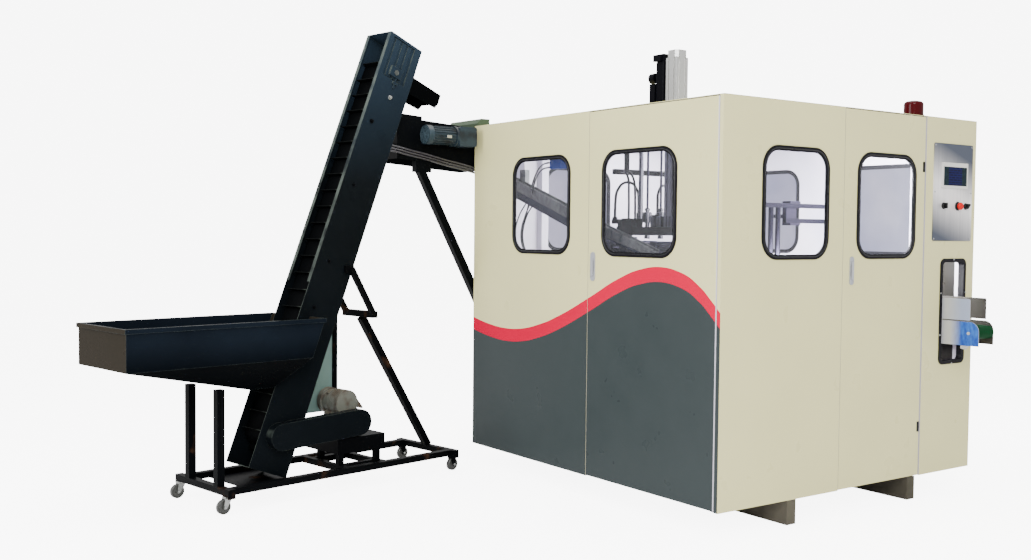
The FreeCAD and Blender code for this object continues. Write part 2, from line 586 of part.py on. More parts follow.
def build_stretch():
    """Grooved column, actuator, sliding carriage with stretch rods, and nozzles."""
    x0, x1 = PROFILE_X
    y0, y1 = PROFILE_Y
    column = box(PROFILE_X, PROFILE_Y, PROFILE_Z)
    for offset in (20.0, 60.0):
        for slot in (box((x0 + offset - 4, x0 + offset + 4), (y0 - 1, y0 + 7), (0, 3000)),
                     box((x0 + offset - 4, x0 + offset + 4), (y1 - 7, y1 + 1), (0, 3000)),
                     box((x0 - 1, x0 + 7), (y0 + offset - 4, y0 + offset + 4), (0, 3000)),
                     box((x1 - 7, x1 + 1), (y0 + offset - 4, y0 + offset + 4), (0, 3000))):
            column = column.cut(slot)
    cut = 14
    cap = [(x0 + cut, y0), (x1 - cut, y0), (x1, y0 + cut), (x1, y1 - cut), (x1 - cut, y1),
           (x0 + cut, y1), (x0, y1 - cut), (x0, y0 + cut)]
    cap = prism(cap, "z", PROFILE_Z[1], CAP_TOP)
    foot = box((340, 454), (690, 856), (MANIFOLD_Z[1], PROFILE_Z[0]))
    shelf = box((285, 515), (y1, 915), (1995, 2012))
    shelf = shelf.cut(box(ACTUATOR[:2], ACTUATOR[2:4], (1990, 2020)))
    brackets = [box((385, 409), (y1, ACTUATOR[2]), (z, z + 14)) for z in (2236, 2275)]
    keep("stretch_column", fuse([column, cap, foot, shelf] + brackets))

    ax0, ax1, ay0, ay1, az0, az1 = ACTUATOR
    body = prism(rectangle((ax0, ax1), (ay0, ay1)), "z", az0, az1, 8)
    head = box((ax0 + 4, ax1 + 6), (ay0 + 4, ay1 - 4), (az1, az1 + 42))
    nose = box((ax0 - 14, ax0 + 4), (ay0 + 12, ay1 + 6), (az1 + 4, az1 + 38))
    valve = box((ax0 - 6, ax1 - 4), (ay1, ay1 + 40), (2080, 2180))
    stem = rod((397, ay1, 2214), (397, ay1 + 22, 2214), 9)
    knob = rod((397, ay1 + 22, 2214), (397, ay1 + 62, 2214), 27)
    tubes = [rod((x, ay1 + 14, 2060), (x, ay1 + 14, 2081), 5) for x in (374, 388)]
    actuator = fuse([body, head, nose, valve, stem, knob] + tubes)
    actuator = actuator.cut(rod((397, 830, az0 - 1), (397, 830, az1 - 3), 9 + RUN_GAP))
    keep("stretch_actuator", actuator)

    bar = box((280, 520), (y1 + 30, 915), CARRIAGE_Z)
    slider = box((345, 449), (y1 + RUN_GAP, y1 + 31), (CARRIAGE_Z[0] - 60, CARRIAGE_Z[1]))
    carriage = fuse([bar, slider, rod((397, 830, CARRIAGE_Z[1] - 1), (397, 830, 2286), 9)]
                    + [rod((x, PARTING_Y, 1400), (x, PARTING_Y, CARRIAGE_Z[0] + 1), STRETCH_R)
                       for x in CAVITY_X])
    for x in GUIDE_X:
        carriage = carriage.cut(rod((x, PARTING_Y, 1800), (x, PARTING_Y, 2000), GUIDE_R + RUN_GAP))
    keep("stretch_carriage", carriage)
    rods = [rod((x, PARTING_Y, MANIFOLD_Z[1]), (x, PARTING_Y, 1995), GUIDE_R) for x in GUIDE_X]
    keep("chrome_rods", Part.Compound(rods))

    profile = [(STRETCH_R + 0.5, 1362), (15, 1362), (15, 1378), (12, 1378), (12, 1446), (23.5, 1448),
               (23.5, 1501), (20, 1504), (10, 1504), (10, 1511), (14, 1511), (14, 1521), (9, 1525),
               (STRETCH_R + 0.5, 1525)]
    nozzles = [revolve(profile, (x, PARTING_Y, 0)) for x in CAVITY_X]
    yoke = box((330, 465), (PARTING_Y + 21, PARTING_Y + 33), (1462, 1490))
    keep("blow_nozzles", fuse(nozzles + [yoke]))

    block = box((188, 607), (824, 950), MANIFOLD_Z)
    for x in CAVITY_X:
        block = block.cut(rod((x, PARTING_Y, 1300), (x, PARTING_Y, 1500), 12 + RUN_GAP))
    valves = [box((x, x + 34), (840, 916), (MANIFOLD_Z[1], 1468)) for x in (192, 236, 530, 568)]
    drop = [box((x, x + 20), (1040, 1060), (1735, SHELL_TOP - SHEET)) for x in (330, 690)]
    bar = box((250, 724), (1036, 1064), (1707, 1735))
    hangers = [box((x, x + 20), (1040, 1060), (SHELL_TOP - SHEET - 40, SHELL_TOP - SHEET))
               for x in (330, 690)]
    elbows = []
    for x in (206, 590):
        across = (x - 12, x + 12)
        elbows += [rod((x, 985, 1462), (x, 985, 1476), 13), box(across, (940, 998), (1440, 1464)),
                   box(across, (940, 949), (MANIFOLD_Z[1], 1442))]
    ports = [rod((x, 938, MANIFOLD_Z[1]), (x, 938, 1500), 11) for x in PORT_X]
    keep("valve_stack", fuse([block] + valves + elbows + ports))
    keep("valve_stack", fuse([bar] + drop + hangers))


HOSE, LINE = 14.0, 8.0
PORT_X = (330.0, 466.0)   # hose ports behind the blow cylinders


def build_hoses():
    """Air hoses that arch over the valve block, and the small lines beside them."""
    tubes = []
    for port, end, top in ((PORT_X[0], 206.0, 1664.0), (PORT_X[1], 590.0, 1654.0)):
        side = math.copysign(1, end - port)
        tubes.append(hose([(port, 938, 1500), (port, 938, 1560), (port + 2 * side, 941, top - 50),
                           (port + 30 * side, 948, top - 9), (port + 62 * side, 958, top),
                           (end - 29 * side, 970, top - 12), (end - 2 * side, 981, top - 58),
                           (end, 985, top - 124), (end, 985, 1476)], HOSE))
    for x, start in ((209, 262), (253, 290), (547, 560), (585, 640)):
        aside = x - start
        tubes.append(hose([(start, 1036, 1721), (start, 990, 1721), (start + 0.3 * aside, 938, 1704),
                           (start + 0.7 * aside, 898, 1660), (x, 880, 1606), (x, 878, 1540),
                           (x, 878, 1468)], 12))
    for index, y in enumerate((1850, 1830, 1812, 1870)):
        x = (262, 254, 264, 258)[index]
        lean = 14.0 * index
        top = RAIL_PATH[0][2] - 0.26616 * (RAIL_PATH[0][1] - y) - RAIL_DEEP - 3.2
        tubes.append(hose([(x, y, top), (x - 10, y + lean, 1510), (x - 24, y + 22 + lean, 1440),
                           (x - 28, y + 34 + lean, 1370), (x - 20, y + 24 + lean, 1300),
                           (x - 4, y - 6 + lean, 1236), (x + 4, y - 30 + lean, 1170)], LINE))
    for drop, end in ((0.0, (214, 1762, 1640)), (26.0, (212, 1742, 1620))):
        tubes.append(hose([(110, 1400, 1780 - drop), (110, 1462, 1780 - drop),
                           (132, 1535, 1776 - drop), (158, 1610, 1756 - drop),
                           (186, 1685, 1712 - drop), end], 9))
    for x, out in ((374, 4), (388, 10)):
        tubes.append(hose([(x, 874, 2059.9), (x, 874, 2046), (x + 2, 874 + out, 2031),
                           (x + 2, 874 + out, 2012.3)], 5))
    keep("hoses_and_cables", Part.Compound(tubes))


def build_transfer():
    """Rail with the sliding preform gripper, and the heating tunnel."""
    posts = [rod((x, 500, SHELL_LOW + 12), (x, 500, 1535), 14) for x in (875, 930)]
    rails = [box((805, 1500), (488, 512), (z, z + 24)) for z in (1535, 1453)]
    stand = box((1470, 1500), (485, 515), (SHELL_LOW + 12, 1453))
    rails[1] = rails[1].cut(box((700, 980), (480, 520), (1440, 1480)))
    keep("press_frame", fuse(posts + rails + [stand, box((1470, 1500), (488, 512), (1470, 1540))]))
    block = box((1010, 1090), (512.3, 540), (1445, 1567))
    lips = [box((1010, 1090), (484, 541), (1559.3, 1571)), box((1010, 1090), (484, 541), (1441, 1452.7))]
    fingers = [box((x, x + 14), (540, 640), (1480, 1500)) for x in (1015, 1071)]
    claws = [box((x0, x1), (616, 640), (1480, 1500)) for x0, x1 in ((1015, 1040), (1060, 1085))]
    keep("transfer_gripper", fuse([block] + lips + fingers + claws))

    outline_ = [(1150, 200), (1750, 200), (1750, 1020), (1620, 1150), (1280, 1150), (1150, 1020)]
    oven = prism(outline_, "x", 600, 1700, 12)
    inner = [(1154, 190), (1746, 190), (1746, 1018), (1618, 1146), (1282, 1146), (1154, 1018)]
    oven = oven.cut(prism(inner, "x", 604, 1696, 10))
    for index in range(9):
        x = 680 + index * 118.0
        oven = oven.cut(box((x, x + 60), (1400, 1500), (1100, 1200)))
    legs = [box((x, x + 40), (y, y + 40), (SHELL_LOW + 12, 232)) for x in (604, 1656)
            for y in (1154, 1706)]
    keep("oven_housing", fuse([oven] + legs))


# ------------------------------------------------------------ preform feeder
RAIL_PATH = ((303.0, 2060.0, 1713.0), (125.0, 1008.0, 1433.0), (150.0, 600.0, 1295.0))
RAIL_DEEP = 98.0          # depth of the upper beam; the lower one is half as deep
FEEDER_X = (-516.0, 118.0)
FEEDER_Y = (2060.0, 2400.0)
FEEDER_TOP = 2046.0       # top line of the side plates at the left end
FEEDER_TALL = 240.0
FEEDER_FALL = 0.0699      # fall per length towards the cabinet
FEED_ROLLER_R = 33.0
FEED_ROLLER_Y = (2184.0, 2276.0)
FEED_AXLE_R = 10.0
FEEDER_MOTOR_Y, FEEDER_MOTOR_Z, FEEDER_MOTOR_R = 1995.0, 1946.0, 54.0
STRUT = 45.0
CABLE = 11.0


def feeder_z(x, below=0.0):
    """Height of the sloping top line of the feeder at x, less a distance."""
    return FEEDER_TOP - FEEDER_FALL * (x - FEEDER_X[0]) - below


def feeder_slab(x0, x1, top, bottom, y0, y1):
    """Slab that follows the slope, between two depths below the top line."""
    points = [(x0, feeder_z(x0, bottom)), (x1, feeder_z(x1, bottom)),
              (x1, feeder_z(x1, top)), (x0, feeder_z(x0, top))]
    return prism(points, "y", y0, y1)


def build_infeed():
    """Sloping rail that brings the preforms through the back wall."""
    def beam(start, end, deep, width):
        """Sloping beam with a low guide strip along each side of its top."""
        run = math.hypot(end[0] - start[0], end[1] - start[1])
        fall = start[2] - end[2]
        body = prism([(0, -deep), (run, -fall - deep), (run, -fall), (0, 0)], "y",
                     -width / 2, width / 2)
        strips = [prism([(0, -30), (run, -fall - 30), (run, -fall + 14), (0, 14)], "y", v, v + 7)
                  for v in (-width / 2 - 7, width / 2)]
        whole = fuse([body] + strips)
        whole.rotate(V(0, 0, 0), V(0, 0, 1),
                     math.degrees(math.atan2(end[1] - start[1], end[0] - start[0])))
        whole.translate(V(*start))
        return whole

    pieces = [beam(RAIL_PATH[0], RAIL_PATH[1], RAIL_DEEP, 36),
              beam(RAIL_PATH[1], RAIL_PATH[2], RAIL_DEEP / 2, 36)]
    pieces.append(box((300, 465), (1992, 2012), (1610, 1634)))
    pieces.append(box((309, 341), (1950, 2006), (1690, 1770)))
    pieces.append(box((140, 188), (870, 900), (1326, 1350)))
    route = [(110, 2230, 1958), (170, 2229, 1930), (225, 2215, 1890), (268, 2185, 1842),
             (294, 2140, 1800), (300, 2095, 1764), (300, 2056, 1740)]
    for side in (-16, 16):
        shifted = []
        for index, (x, y, z) in enumerate(route):
            turn = math.radians(90.0 * min(index / 5, 1))
            shifted.append((x + side * math.sin(turn), y + side * math.cos(turn), z))
        pieces.append(hose(shifted, 12))
    keep("infeed_rails", fuse(pieces[:5]))
    keep("infeed_rails", Part.Compound(pieces[5:]))
    keep("infeed_rails", box((80, 150), (1300, 1400), (1742, SHELL_TOP - SHEET - TUBE)))


def build_feeder():
    """Two turning rollers in a sloping trough on a strut, with their gearmotor."""
    x0, x1 = FEEDER_X
    y0, y1 = FEEDER_Y
    pieces = [feeder_slab(x0, x1, 0, FEEDER_TALL, y, y + 6) for y in (y0, y1 - 6)]
    pieces.append(feeder_slab(x0, x1, FEEDER_TALL - 4, FEEDER_TALL, y0 + 6, y1 - 6))
    pieces.append(feeder_slab(x0, x0 + 6, 0, FEEDER_TALL, y0 + 6, y1 - 6))
    pieces.append(feeder_slab(x1 - 6, x1, 0, FEEDER_TALL, y0 + 6, y1 - 6))
    pieces.append(feeder_slab(-480, -353, -20, 8, y0, y1))
    hood = [(30, 2006), (30, 2040), (60, 2070), (x1, 2070), (x1, 2002)]
    inner = [(33, 1990), (33, 2038.8), (61.2, 2067), (x1 + 9, 2067), (x1 + 9, 1990)]
    pieces.append(prism(hood, "y", y0, y1).cut(prism(inner, "y", y0 + 6, y1 - 6)))
    pieces.append(box((-389, -288), (y0, y0 + 50), (1735, feeder_z(-330, FEEDER_TALL) + 4)))
    pieces.append(square_tube((-349, 2085, 1745), (118, 2085, 868), STRUT, 3, (0, 1, 0)))
    pieces.append(box((80, 156), (DEPTH, 2108), (806, 892)))
    pieces.append(box((60, 112), (DEPTH, y0 + 1), (1775, 1990)))
    frame = fuse(pieces)
    slot = [(2204, 1850, 16), (2256, 1850, 16), (2256, 2090), (2204, 2090)]
    frame = frame.cut(prism(slot, "x", x1 - 9, x1 + 9))
    for y in FEED_ROLLER_Y:
        ends = [(x, y, feeder_z(x, 47)) for x in (x0 - 20, x1 + 20)]
        frame = frame.cut(rod(*ends, FEED_AXLE_R + RUN_GAP))
    keep("feeder_frame", frame)
    for name, y in zip(("feeder_roller_near", "feeder_roller_far"), FEED_ROLLER_Y):
        body = rod((x0 + 12, y, feeder_z(x0 + 12, 47)), (x1 - 12, y, feeder_z(x1 - 12, 47)),
                   FEED_ROLLER_R)
        axle = rod((x0 - 8, y, feeder_z(x0 - 8, 47)), (x1 + 8, y, feeder_z(x1 + 8, 47)),
                   FEED_AXLE_R)
        keep(name, fuse([body, axle]))

    my, mz, mr = FEEDER_MOTOR_Y, FEEDER_MOTOR_Z, FEEDER_MOTOR_R
    gearbox = prism(rectangle((-168, -49), (1887, 2001)), "y", my - 55, y0, 12)
    flange = rod((-182, my, mz), (-168, my, mz), mr + 4)
    body = rod((-340, my, mz), (-168, my, mz), mr - 7)
    cover = rod((-371, my, mz), (-336, my, mz), mr + 2)
    fins = []
    for index in range(20):
        fin = box((-332, -186), (my - 1.6, my + 1.6), (mz, mz + mr))
        fin.rotate(V(0, my, mz), V(1, 0, 0), 18.0 * index)
        fins.append(fin)
    keep("feeder_motor", fuse([gearbox, flange, body, cover] + fins))

    cables = []
    for index in range(3):
        z = 1898.0 - 15.0 * index
        out = 6.0 * index
        cables.append(hose([(-516.3, 2181, z), (-558 - out, 2181, z - 2), (-592 - out, 2152, z - 6),
                            (-594 - out, 2090, z - 12), (-562 - out, 2053, z - 18),
                            (-500, 2049, z - 30), (-425, 2050, z - 44), (-350, 2050, z - 56),
                            (-270, 2050, z - 72), (-185, 2050, z - 90), (-105, 2050, z - 103),
                            (-20, 2050, z - 120), (60, 2050, z - 137)], CABLE))
    keep("hoses_and_cables", Part.Compound(cables))


# ------------------------------------------------------------------ elevator
# Drawn in its own frame: u along its base, v across it, with z up; then turned
# about the vertical and set beside the cabinet.
LIFT_TURN = 10.0
LIFT_AT = (-1725.0, 1888.0)
TROUGH_LEAN = math.radians(68.53)
TROUGH_FOOT = (206.5, 179.5)
TROUGH_LONG, TROUGH_DEEP, TROUGH_HALF = 2501.0, 217.0, 110.0
TROUGH_WALL = 3.0
TAKE_UP_S, TAKE_UP_SIDE = (2252.0, 2486.0), (30.0, 190.0)     # recess with the head bearing
DRUM_R, DRUM_SIDE = 62.0, 108.5
DRUM_TAIL_S, DRUM_HEAD_S = 194.0, 2296.0
DRUM_SHAFT_R = 15.0
LIFT_BELT = 5.0
CLEAT_TALL, CLEAT_COUNT = 30.0, 48
BASE_LONG, BASE_HALF = 1512.0, 216.0
BASE_Z = (86.0, 120.0)
BAR = 40.0
HOPPER_RIM, HOPPER_WAIST, HOPPER_FOOT = 934.0, 732.0, 580.0
HOPPER_HALF = 248.0
HOPPER_LEFT = -512.0
FUNNEL = (201.0, 345.0, 130.0)
GEARBOX = (878.0, 342.0)
CHAIN_R = 70.0
WHEEL_R, WHEEL_WIDE = 36.0, 24.0
CASTER_LEFT, CASTER_RIGHT = 14.0, 1490.0
CASTER_V = 228.0
TRAIL = 22.0
KINGPIN_R, KINGPIN_TALL = 6.0, 24.0


def lifted(shape):
    """Elevator piece turned and moved to its place in the corner frame."""
    shape = shape.copy()
    shape.rotate(V(0, 0, 0), V(0, 0, 1), LIFT_TURN)
    shape.translate(V(LIFT_AT[0], LIFT_AT[1], 0))
    return shape


def trough_point(s, side):
    """(u, z) of a point s along the trough and side across it from its upper edge."""
    cos, sin = math.cos(TROUGH_LEAN), math.sin(TROUGH_LEAN)
    return TROUGH_FOOT[0] + s * cos + side * sin, TROUGH_FOOT[1] + s * sin - side * cos


def trough_slab(s, side, v):
    """Slab square to the trough, from three (low, high) pairs."""
    points = [trough_point(a, b) for a, b in rectangle(s, side)]
    return prism(points, "y", *v)


def build_trough():
    """Leaning channel with the chain guard on its near side."""
    low, high = 0.0, TROUGH_LONG
    outer_v = TROUGH_HALF
    inner_v = TROUGH_HALF - TROUGH_WALL
    plates = [trough_slab((low, high), (0, TROUGH_DEEP), v) for v in
              ((-outer_v, -inner_v), (inner_v, outer_v))]
    back = trough_slab((low, 2246), (TROUGH_DEEP - TROUGH_WALL, TROUGH_DEEP), (-inner_v, inner_v))
    crown = trough_slab((high - TROUGH_WALL, high), (0, TROUGH_DEEP), (-inner_v, inner_v))
    foot = trough_slab((low, low + TROUGH_WALL), (0, TROUGH_DEEP), (-inner_v, inner_v))
    lips = [trough_slab((1010, high), (0, TROUGH_WALL), (-outer_v, -outer_v + 26)),
            trough_slab((1010, high), (0, TROUGH_WALL), (outer_v - 26, outer_v))]
    bands = [trough_slab((low, high), (TROUGH_DEEP, TROUGH_DEEP + 22), v) for v in
             ((-outer_v, -outer_v + 4), (outer_v - 4, outer_v))]
    cross = [trough_slab((s, s + 30), (85, 132), (-inner_v, inner_v)) for s in (700, 1300, 1900)]
    channel = fuse(plates + [back, crown, foot] + lips + bands + cross)
    head = trough_point(DRUM_HEAD_S, DRUM_SIDE)
    for s, reach in ((DRUM_TAIL_S, 0), (DRUM_HEAD_S, 34)):
        hole = stadium("y", trough_point(s - reach - 0.1, DRUM_SIDE), trough_point(s + reach, DRUM_SIDE),
                       DRUM_SHAFT_R + RUN_GAP, -200, 200)
        channel = channel.cut(hole)
    channel = channel.cut(trough_slab(TAKE_UP_S, TAKE_UP_SIDE, (-outer_v - 1, -inner_v + 0.5)))
    lid = (TAKE_UP_S[0] - 5, TAKE_UP_S[1] + 5), (TAKE_UP_SIDE[0] - 5, TAKE_UP_SIDE[1] + 5)
    rails = [trough_slab(*lid, (-99, -95)), trough_slab(*lid, (-inner_v, -95)).cut(
        trough_slab(TAKE_UP_S, TAKE_UP_SIDE, (-inner_v - 1, -94)))]
    rails += [trough_slab((TAKE_UP_S[0] + 4, TAKE_UP_S[1] - 4), side, (-106, -99))
              for side in ((50, 84), (101, 126), (143, 166))]
    rails.append(trough_slab((DRUM_HEAD_S - 28, DRUM_HEAD_S + 28), (68, 149), (-123, -99)))
    rails.append(trough_slab((DRUM_HEAD_S - 66, DRUM_HEAD_S - 52), (108, 140), (-121, -inner_v - 1)))
    rails.append(rod((trough_point(DRUM_HEAD_S - 90, 124)[0], -114, trough_point(DRUM_HEAD_S - 90, 124)[1]),
                     (trough_point(DRUM_HEAD_S, 124)[0], -114, trough_point(DRUM_HEAD_S, 124)[1]), 5))
    bearing = fuse(rails)
    bearing = bearing.cut(rod((head[0], -200, head[1]), (head[0], 0, head[1]),
                              DRUM_SHAFT_R + RUN_GAP))
    channel = fuse([channel, bearing])
    tail = trough_point(DRUM_TAIL_S, DRUM_SIDE)
    guard = stadium("y", tail, GEARBOX, CHAIN_R, -165, -outer_v)
    guard = guard.cut(stadium("y", tail, GEARBOX, CHAIN_R - 3, -162, -outer_v))
    keep("lift_trough", lifted(fuse([channel, guard])))


def build_belt():
    """Cleated belt round two drums."""
    tail = trough_point(DRUM_TAIL_S, DRUM_SIDE)
    head = trough_point(DRUM_HEAD_S, DRUM_SIDE)
    inner_r = DRUM_R + RUN_GAP
    outer_r = inner_r + LIFT_BELT
    belt = stadium("y", tail, head, outer_r, -94, 94).cut(stadium("y", tail, head, inner_r, -94, 94))
    straight = DRUM_HEAD_S - DRUM_TAIL_S
    loop = 2 * straight + 2 * math.pi * outer_r
    cleats = []
    for index in range(CLEAT_COUNT):
        run = index * loop / CLEAT_COUNT
        if run < straight:
            cleats.append(trough_slab((DRUM_TAIL_S + run, DRUM_TAIL_S + run + 4),
                                      (DRUM_SIDE - outer_r - CLEAT_TALL, DRUM_SIDE - outer_r + 1),
                                      (-90, 90)))
            continue
        run -= straight
        if run < math.pi * outer_r:
            centre, turned = DRUM_HEAD_S, run / outer_r
        elif run < math.pi * outer_r + straight:
            along = DRUM_HEAD_S - (run - math.pi * outer_r)
            cleats.append(trough_slab((along - 4, along),
                                      (DRUM_SIDE + outer_r - 1, DRUM_SIDE + outer_r + CLEAT_TALL),
                                      (-90, 90)))
            continue
        else:
            centre = DRUM_TAIL_S
            turned = math.pi + (run - math.pi * outer_r - straight) / outer_r
        cleat = trough_slab((centre, centre + 4),
                            (DRUM_SIDE - outer_r - CLEAT_TALL, DRUM_SIDE - outer_r + 1), (-90, 90))
        u, z = trough_point(centre, DRUM_SIDE)
        cleat.rotate(V(u, 0, z), V(0, 1, 0), math.degrees(turned))
        cleats.append(cleat)
    keep("lift_belt", lifted(fuse([belt] + cleats)))

    for name, (u, z), near in (("lift_tail_roller", tail, -150), ("lift_head_roller", head, -126)):
        drum = revolve([(0, -93), (DRUM_R - 2, -93), (DRUM_R, -60), (DRUM_R, 60), (DRUM_R - 2, 93),
                        (0, 93)], (u, 0, z), (0, 1, 0))
        shaft = rod((u, near, z), (u, 126, z), DRUM_SHAFT_R)
        keep(name, lifted(fuse([drum, shaft])))


def build_hopper():
    """Open hopper with upright sides and a funnel that leads to the belt."""
    rim_u = trough_point((HOPPER_RIM - TROUGH_FOOT[1]) / math.sin(TROUGH_LEAN), 0)[0] + 78
    drop = (HOPPER_RIM - HOPPER_WAIST) / math.tan(TROUGH_LEAN)
    waist_u = rim_u - drop
    wall = 4.0

    def bowl(inset, top):
        left, right, half = HOPPER_LEFT + inset, rim_u - inset, HOPPER_HALF - inset
        upper = prism([(left, HOPPER_WAIST), (waist_u - inset, HOPPER_WAIST),
                       (right + (top - HOPPER_RIM) / math.tan(TROUGH_LEAN), top), (left, top)],
                      "y", -half, half)
        wide = outline(rectangle((left, waist_u - inset), (-half, half)), "z", HOPPER_WAIST)
        tight = outline(rectangle((FUNNEL[0] + inset, FUNNEL[1] - inset),
                                  (inset - FUNNEL[2], FUNNEL[2] - inset)), "z",
                        HOPPER_FOOT + inset)
        return upper.fuse(Part.makeLoft([wide, tight], True, True))

    shell = bowl(0, HOPPER_RIM).cut(bowl(wall, HOPPER_RIM + 5))
    rim = [(HOPPER_LEFT - 8, HOPPER_RIM - 22), (rim_u, HOPPER_RIM - 22), (rim_u, HOPPER_RIM),
           (HOPPER_LEFT - 8, HOPPER_RIM)]
    flanges = [prism(rim, "y", *v) for v in ((-HOPPER_HALF - 8, -HOPPER_HALF),
                                            (HOPPER_HALF, HOPPER_HALF + 8))]
    flanges.append(box((HOPPER_LEFT - 8, HOPPER_LEFT), (-HOPPER_HALF, HOPPER_HALF),
                       (HOPPER_RIM - 22, HOPPER_RIM)))
    hopper = fuse([shell] + flanges)
    gap = TROUGH_HALF + RUN_GAP
    hopper = hopper.cut(trough_slab((-100, 2600), (-RUN_GAP, 400), (-gap, gap)))
    keep("lift_hopper", lifted(hopper))


def build_lift_frame():
    """Wheeled base, hopper posts, trough supports and the motor stand."""
    z0, z1 = BASE_Z
    pieces = [box((0, BASE_LONG), sorted((side * (BASE_HALF - BAR / 2), side * (BASE_HALF + BAR / 2))),
                  BASE_Z) for side in (-1, 1)]
    for u in (0.0, BASE_LONG - BAR):
        pieces.append(box((u, u + BAR), (-262, 262), BASE_Z))
        for v in (-262.0, 256.0):
            pieces.append(box((u, u + BAR), (v, v + 6), (z0 - 12, z0)))
    pieces.append(box((160, 440), (-BASE_HALF, BASE_HALF), (z0, z0 + 5.7)))
    for v in (-140.0, 140.0):
        pieces.append(box((0, BAR), (v - BAR / 2, v + BAR / 2), (z1, 600)))
    arm = [(838, 1184), (996, 916)]
    for v in (-124.0, 124.0):
        pieces.append(square_tube((arm[0][0], v, arm[0][1]), (arm[1][0], v, arm[1][1]), 28, 3,
                                  (0, 1, 0)))
        pieces.append(box((800, 856), sorted((v, math.copysign(110, v))), (1160, 1200)))
    pieces.append(square_tube((990, -138, 926), (990, 138, 926), 36, 3, (0, 0, 1)))
    pieces.append(square_tube((1001, 0, 905), (1492, 0, z1 - 2), BAR, 3, (0, 1, 0)))
    pieces.append(box((892, 918), (111, 135), (262, 1320)))
    pieces.append(box((862, 918), (110, 135), (1290, 1320)))
    tray = box((733, 1052), (-150, 150), (180, 262))
    tray = tray.cut(box((736, 1049), (-147, 147), (170, 259)))
    pieces.append(tray)
    for u, v in ((740, -150), (988, -150), (806, 118)):
        pieces.append(box((u, u + 32), (v, v + 32), (z1, 262)))
    for v in (-150.0, 118.0):
        pieces.append(box((740, 1020), (v, v + 32), (z0, z1)))
    for u in (740.0, 988.0):
        pieces.append(box((u, u + 32), (-BASE_HALF, BASE_HALF), (z0, z1)))
    for side in (-1, 1):
        pieces.append(fork(CASTER_RIGHT, side * CASTER_V, 0.0))
    frame = fuse(pieces)
    for side in (-1, 1):
        frame = frame.cut(rod((CASTER_LEFT, side * CASTER_V, z0 - 1),
                              (CASTER_LEFT, side * CASTER_V, z0 + KINGPIN_TALL + RUN_GAP),
                              KINGPIN_R + RUN_GAP))
    keep("lift_frame", lifted(frame))


def fork(u, v, trail):
    """Caster fork over one wheel, whose axle trails behind the pivot."""
    top = BASE_Z[0]
    plate = box((u - 20, u + 20), (v - 17, v + 17), (top - 6, top))
    axle_u = u - trail
    cheeks = []
    for low, high in ((v - 17, v - 14), (v + 14, v + 17)):
        points = [(u - 20, top - 6), (u + 20, top - 6), (axle_u + 9, WHEEL_R - 9, 7),
                  (axle_u - 9, WHEEL_R - 9, 7)]
        cheeks.append(prism(points, "y", low, high))
    bridge = box((u - 20, u + 20), (v - 17, v + 17), (top - 11, top - 6))
    axle = rod((axle_u, v - 20, WHEEL_R), (axle_u, v + 20, WHEEL_R), 4)
    return fuse([plate, bridge, axle] + cheeks)


def build_casters():
    """Two swivel forks on the left and four wheels."""
    for index, v in enumerate((-CASTER_V, CASTER_V)):
        piece = fork(CASTER_LEFT, v, TRAIL)
        piece.translate(V(0, 0, -RUN_GAP))
        piece = piece.cut(rod((CASTER_LEFT - TRAIL, v - 30, WHEEL_R - RUN_GAP),
                              (CASTER_LEFT - TRAIL, v + 30, WHEEL_R - RUN_GAP), 4))
        piece = fuse([piece, rod((CASTER_LEFT - TRAIL, v - 20, WHEEL_R),
                                 (CASTER_LEFT - TRAIL, v + 20, WHEEL_R), 4),
                      rod((CASTER_LEFT, v, BASE_Z[0] - 4), (CASTER_LEFT, v, BASE_Z[0] + KINGPIN_TALL),
                          KINGPIN_R)])
        keep(f"caster_fork_{index + 1}", lifted(piece))
    places = [(CASTER_LEFT - TRAIL, -CASTER_V), (CASTER_LEFT - TRAIL, CASTER_V),
              (CASTER_RIGHT, -CASTER_V), (CASTER_RIGHT, CASTER_V)]
    half = WHEEL_WIDE / 2
    for index, (u, v) in enumerate(places):
        tread = revolve([(4.05, -half), (12, -half), (12, -half + 5), (28, -half + 5), (30, -half + 2),
                         (WHEEL_R - 3, -half), (WHEEL_R, -half + 3), (WHEEL_R, half - 3),
                         (WHEEL_R - 3, half), (30, half - 2), (28, half - 5), (12, half - 5),
                         (12, half), (4.05, half)], (u, v, WHEEL_R), (0, 1, 0))
        keep(f"caster_wheel_{index + 1}", lifted(tread))


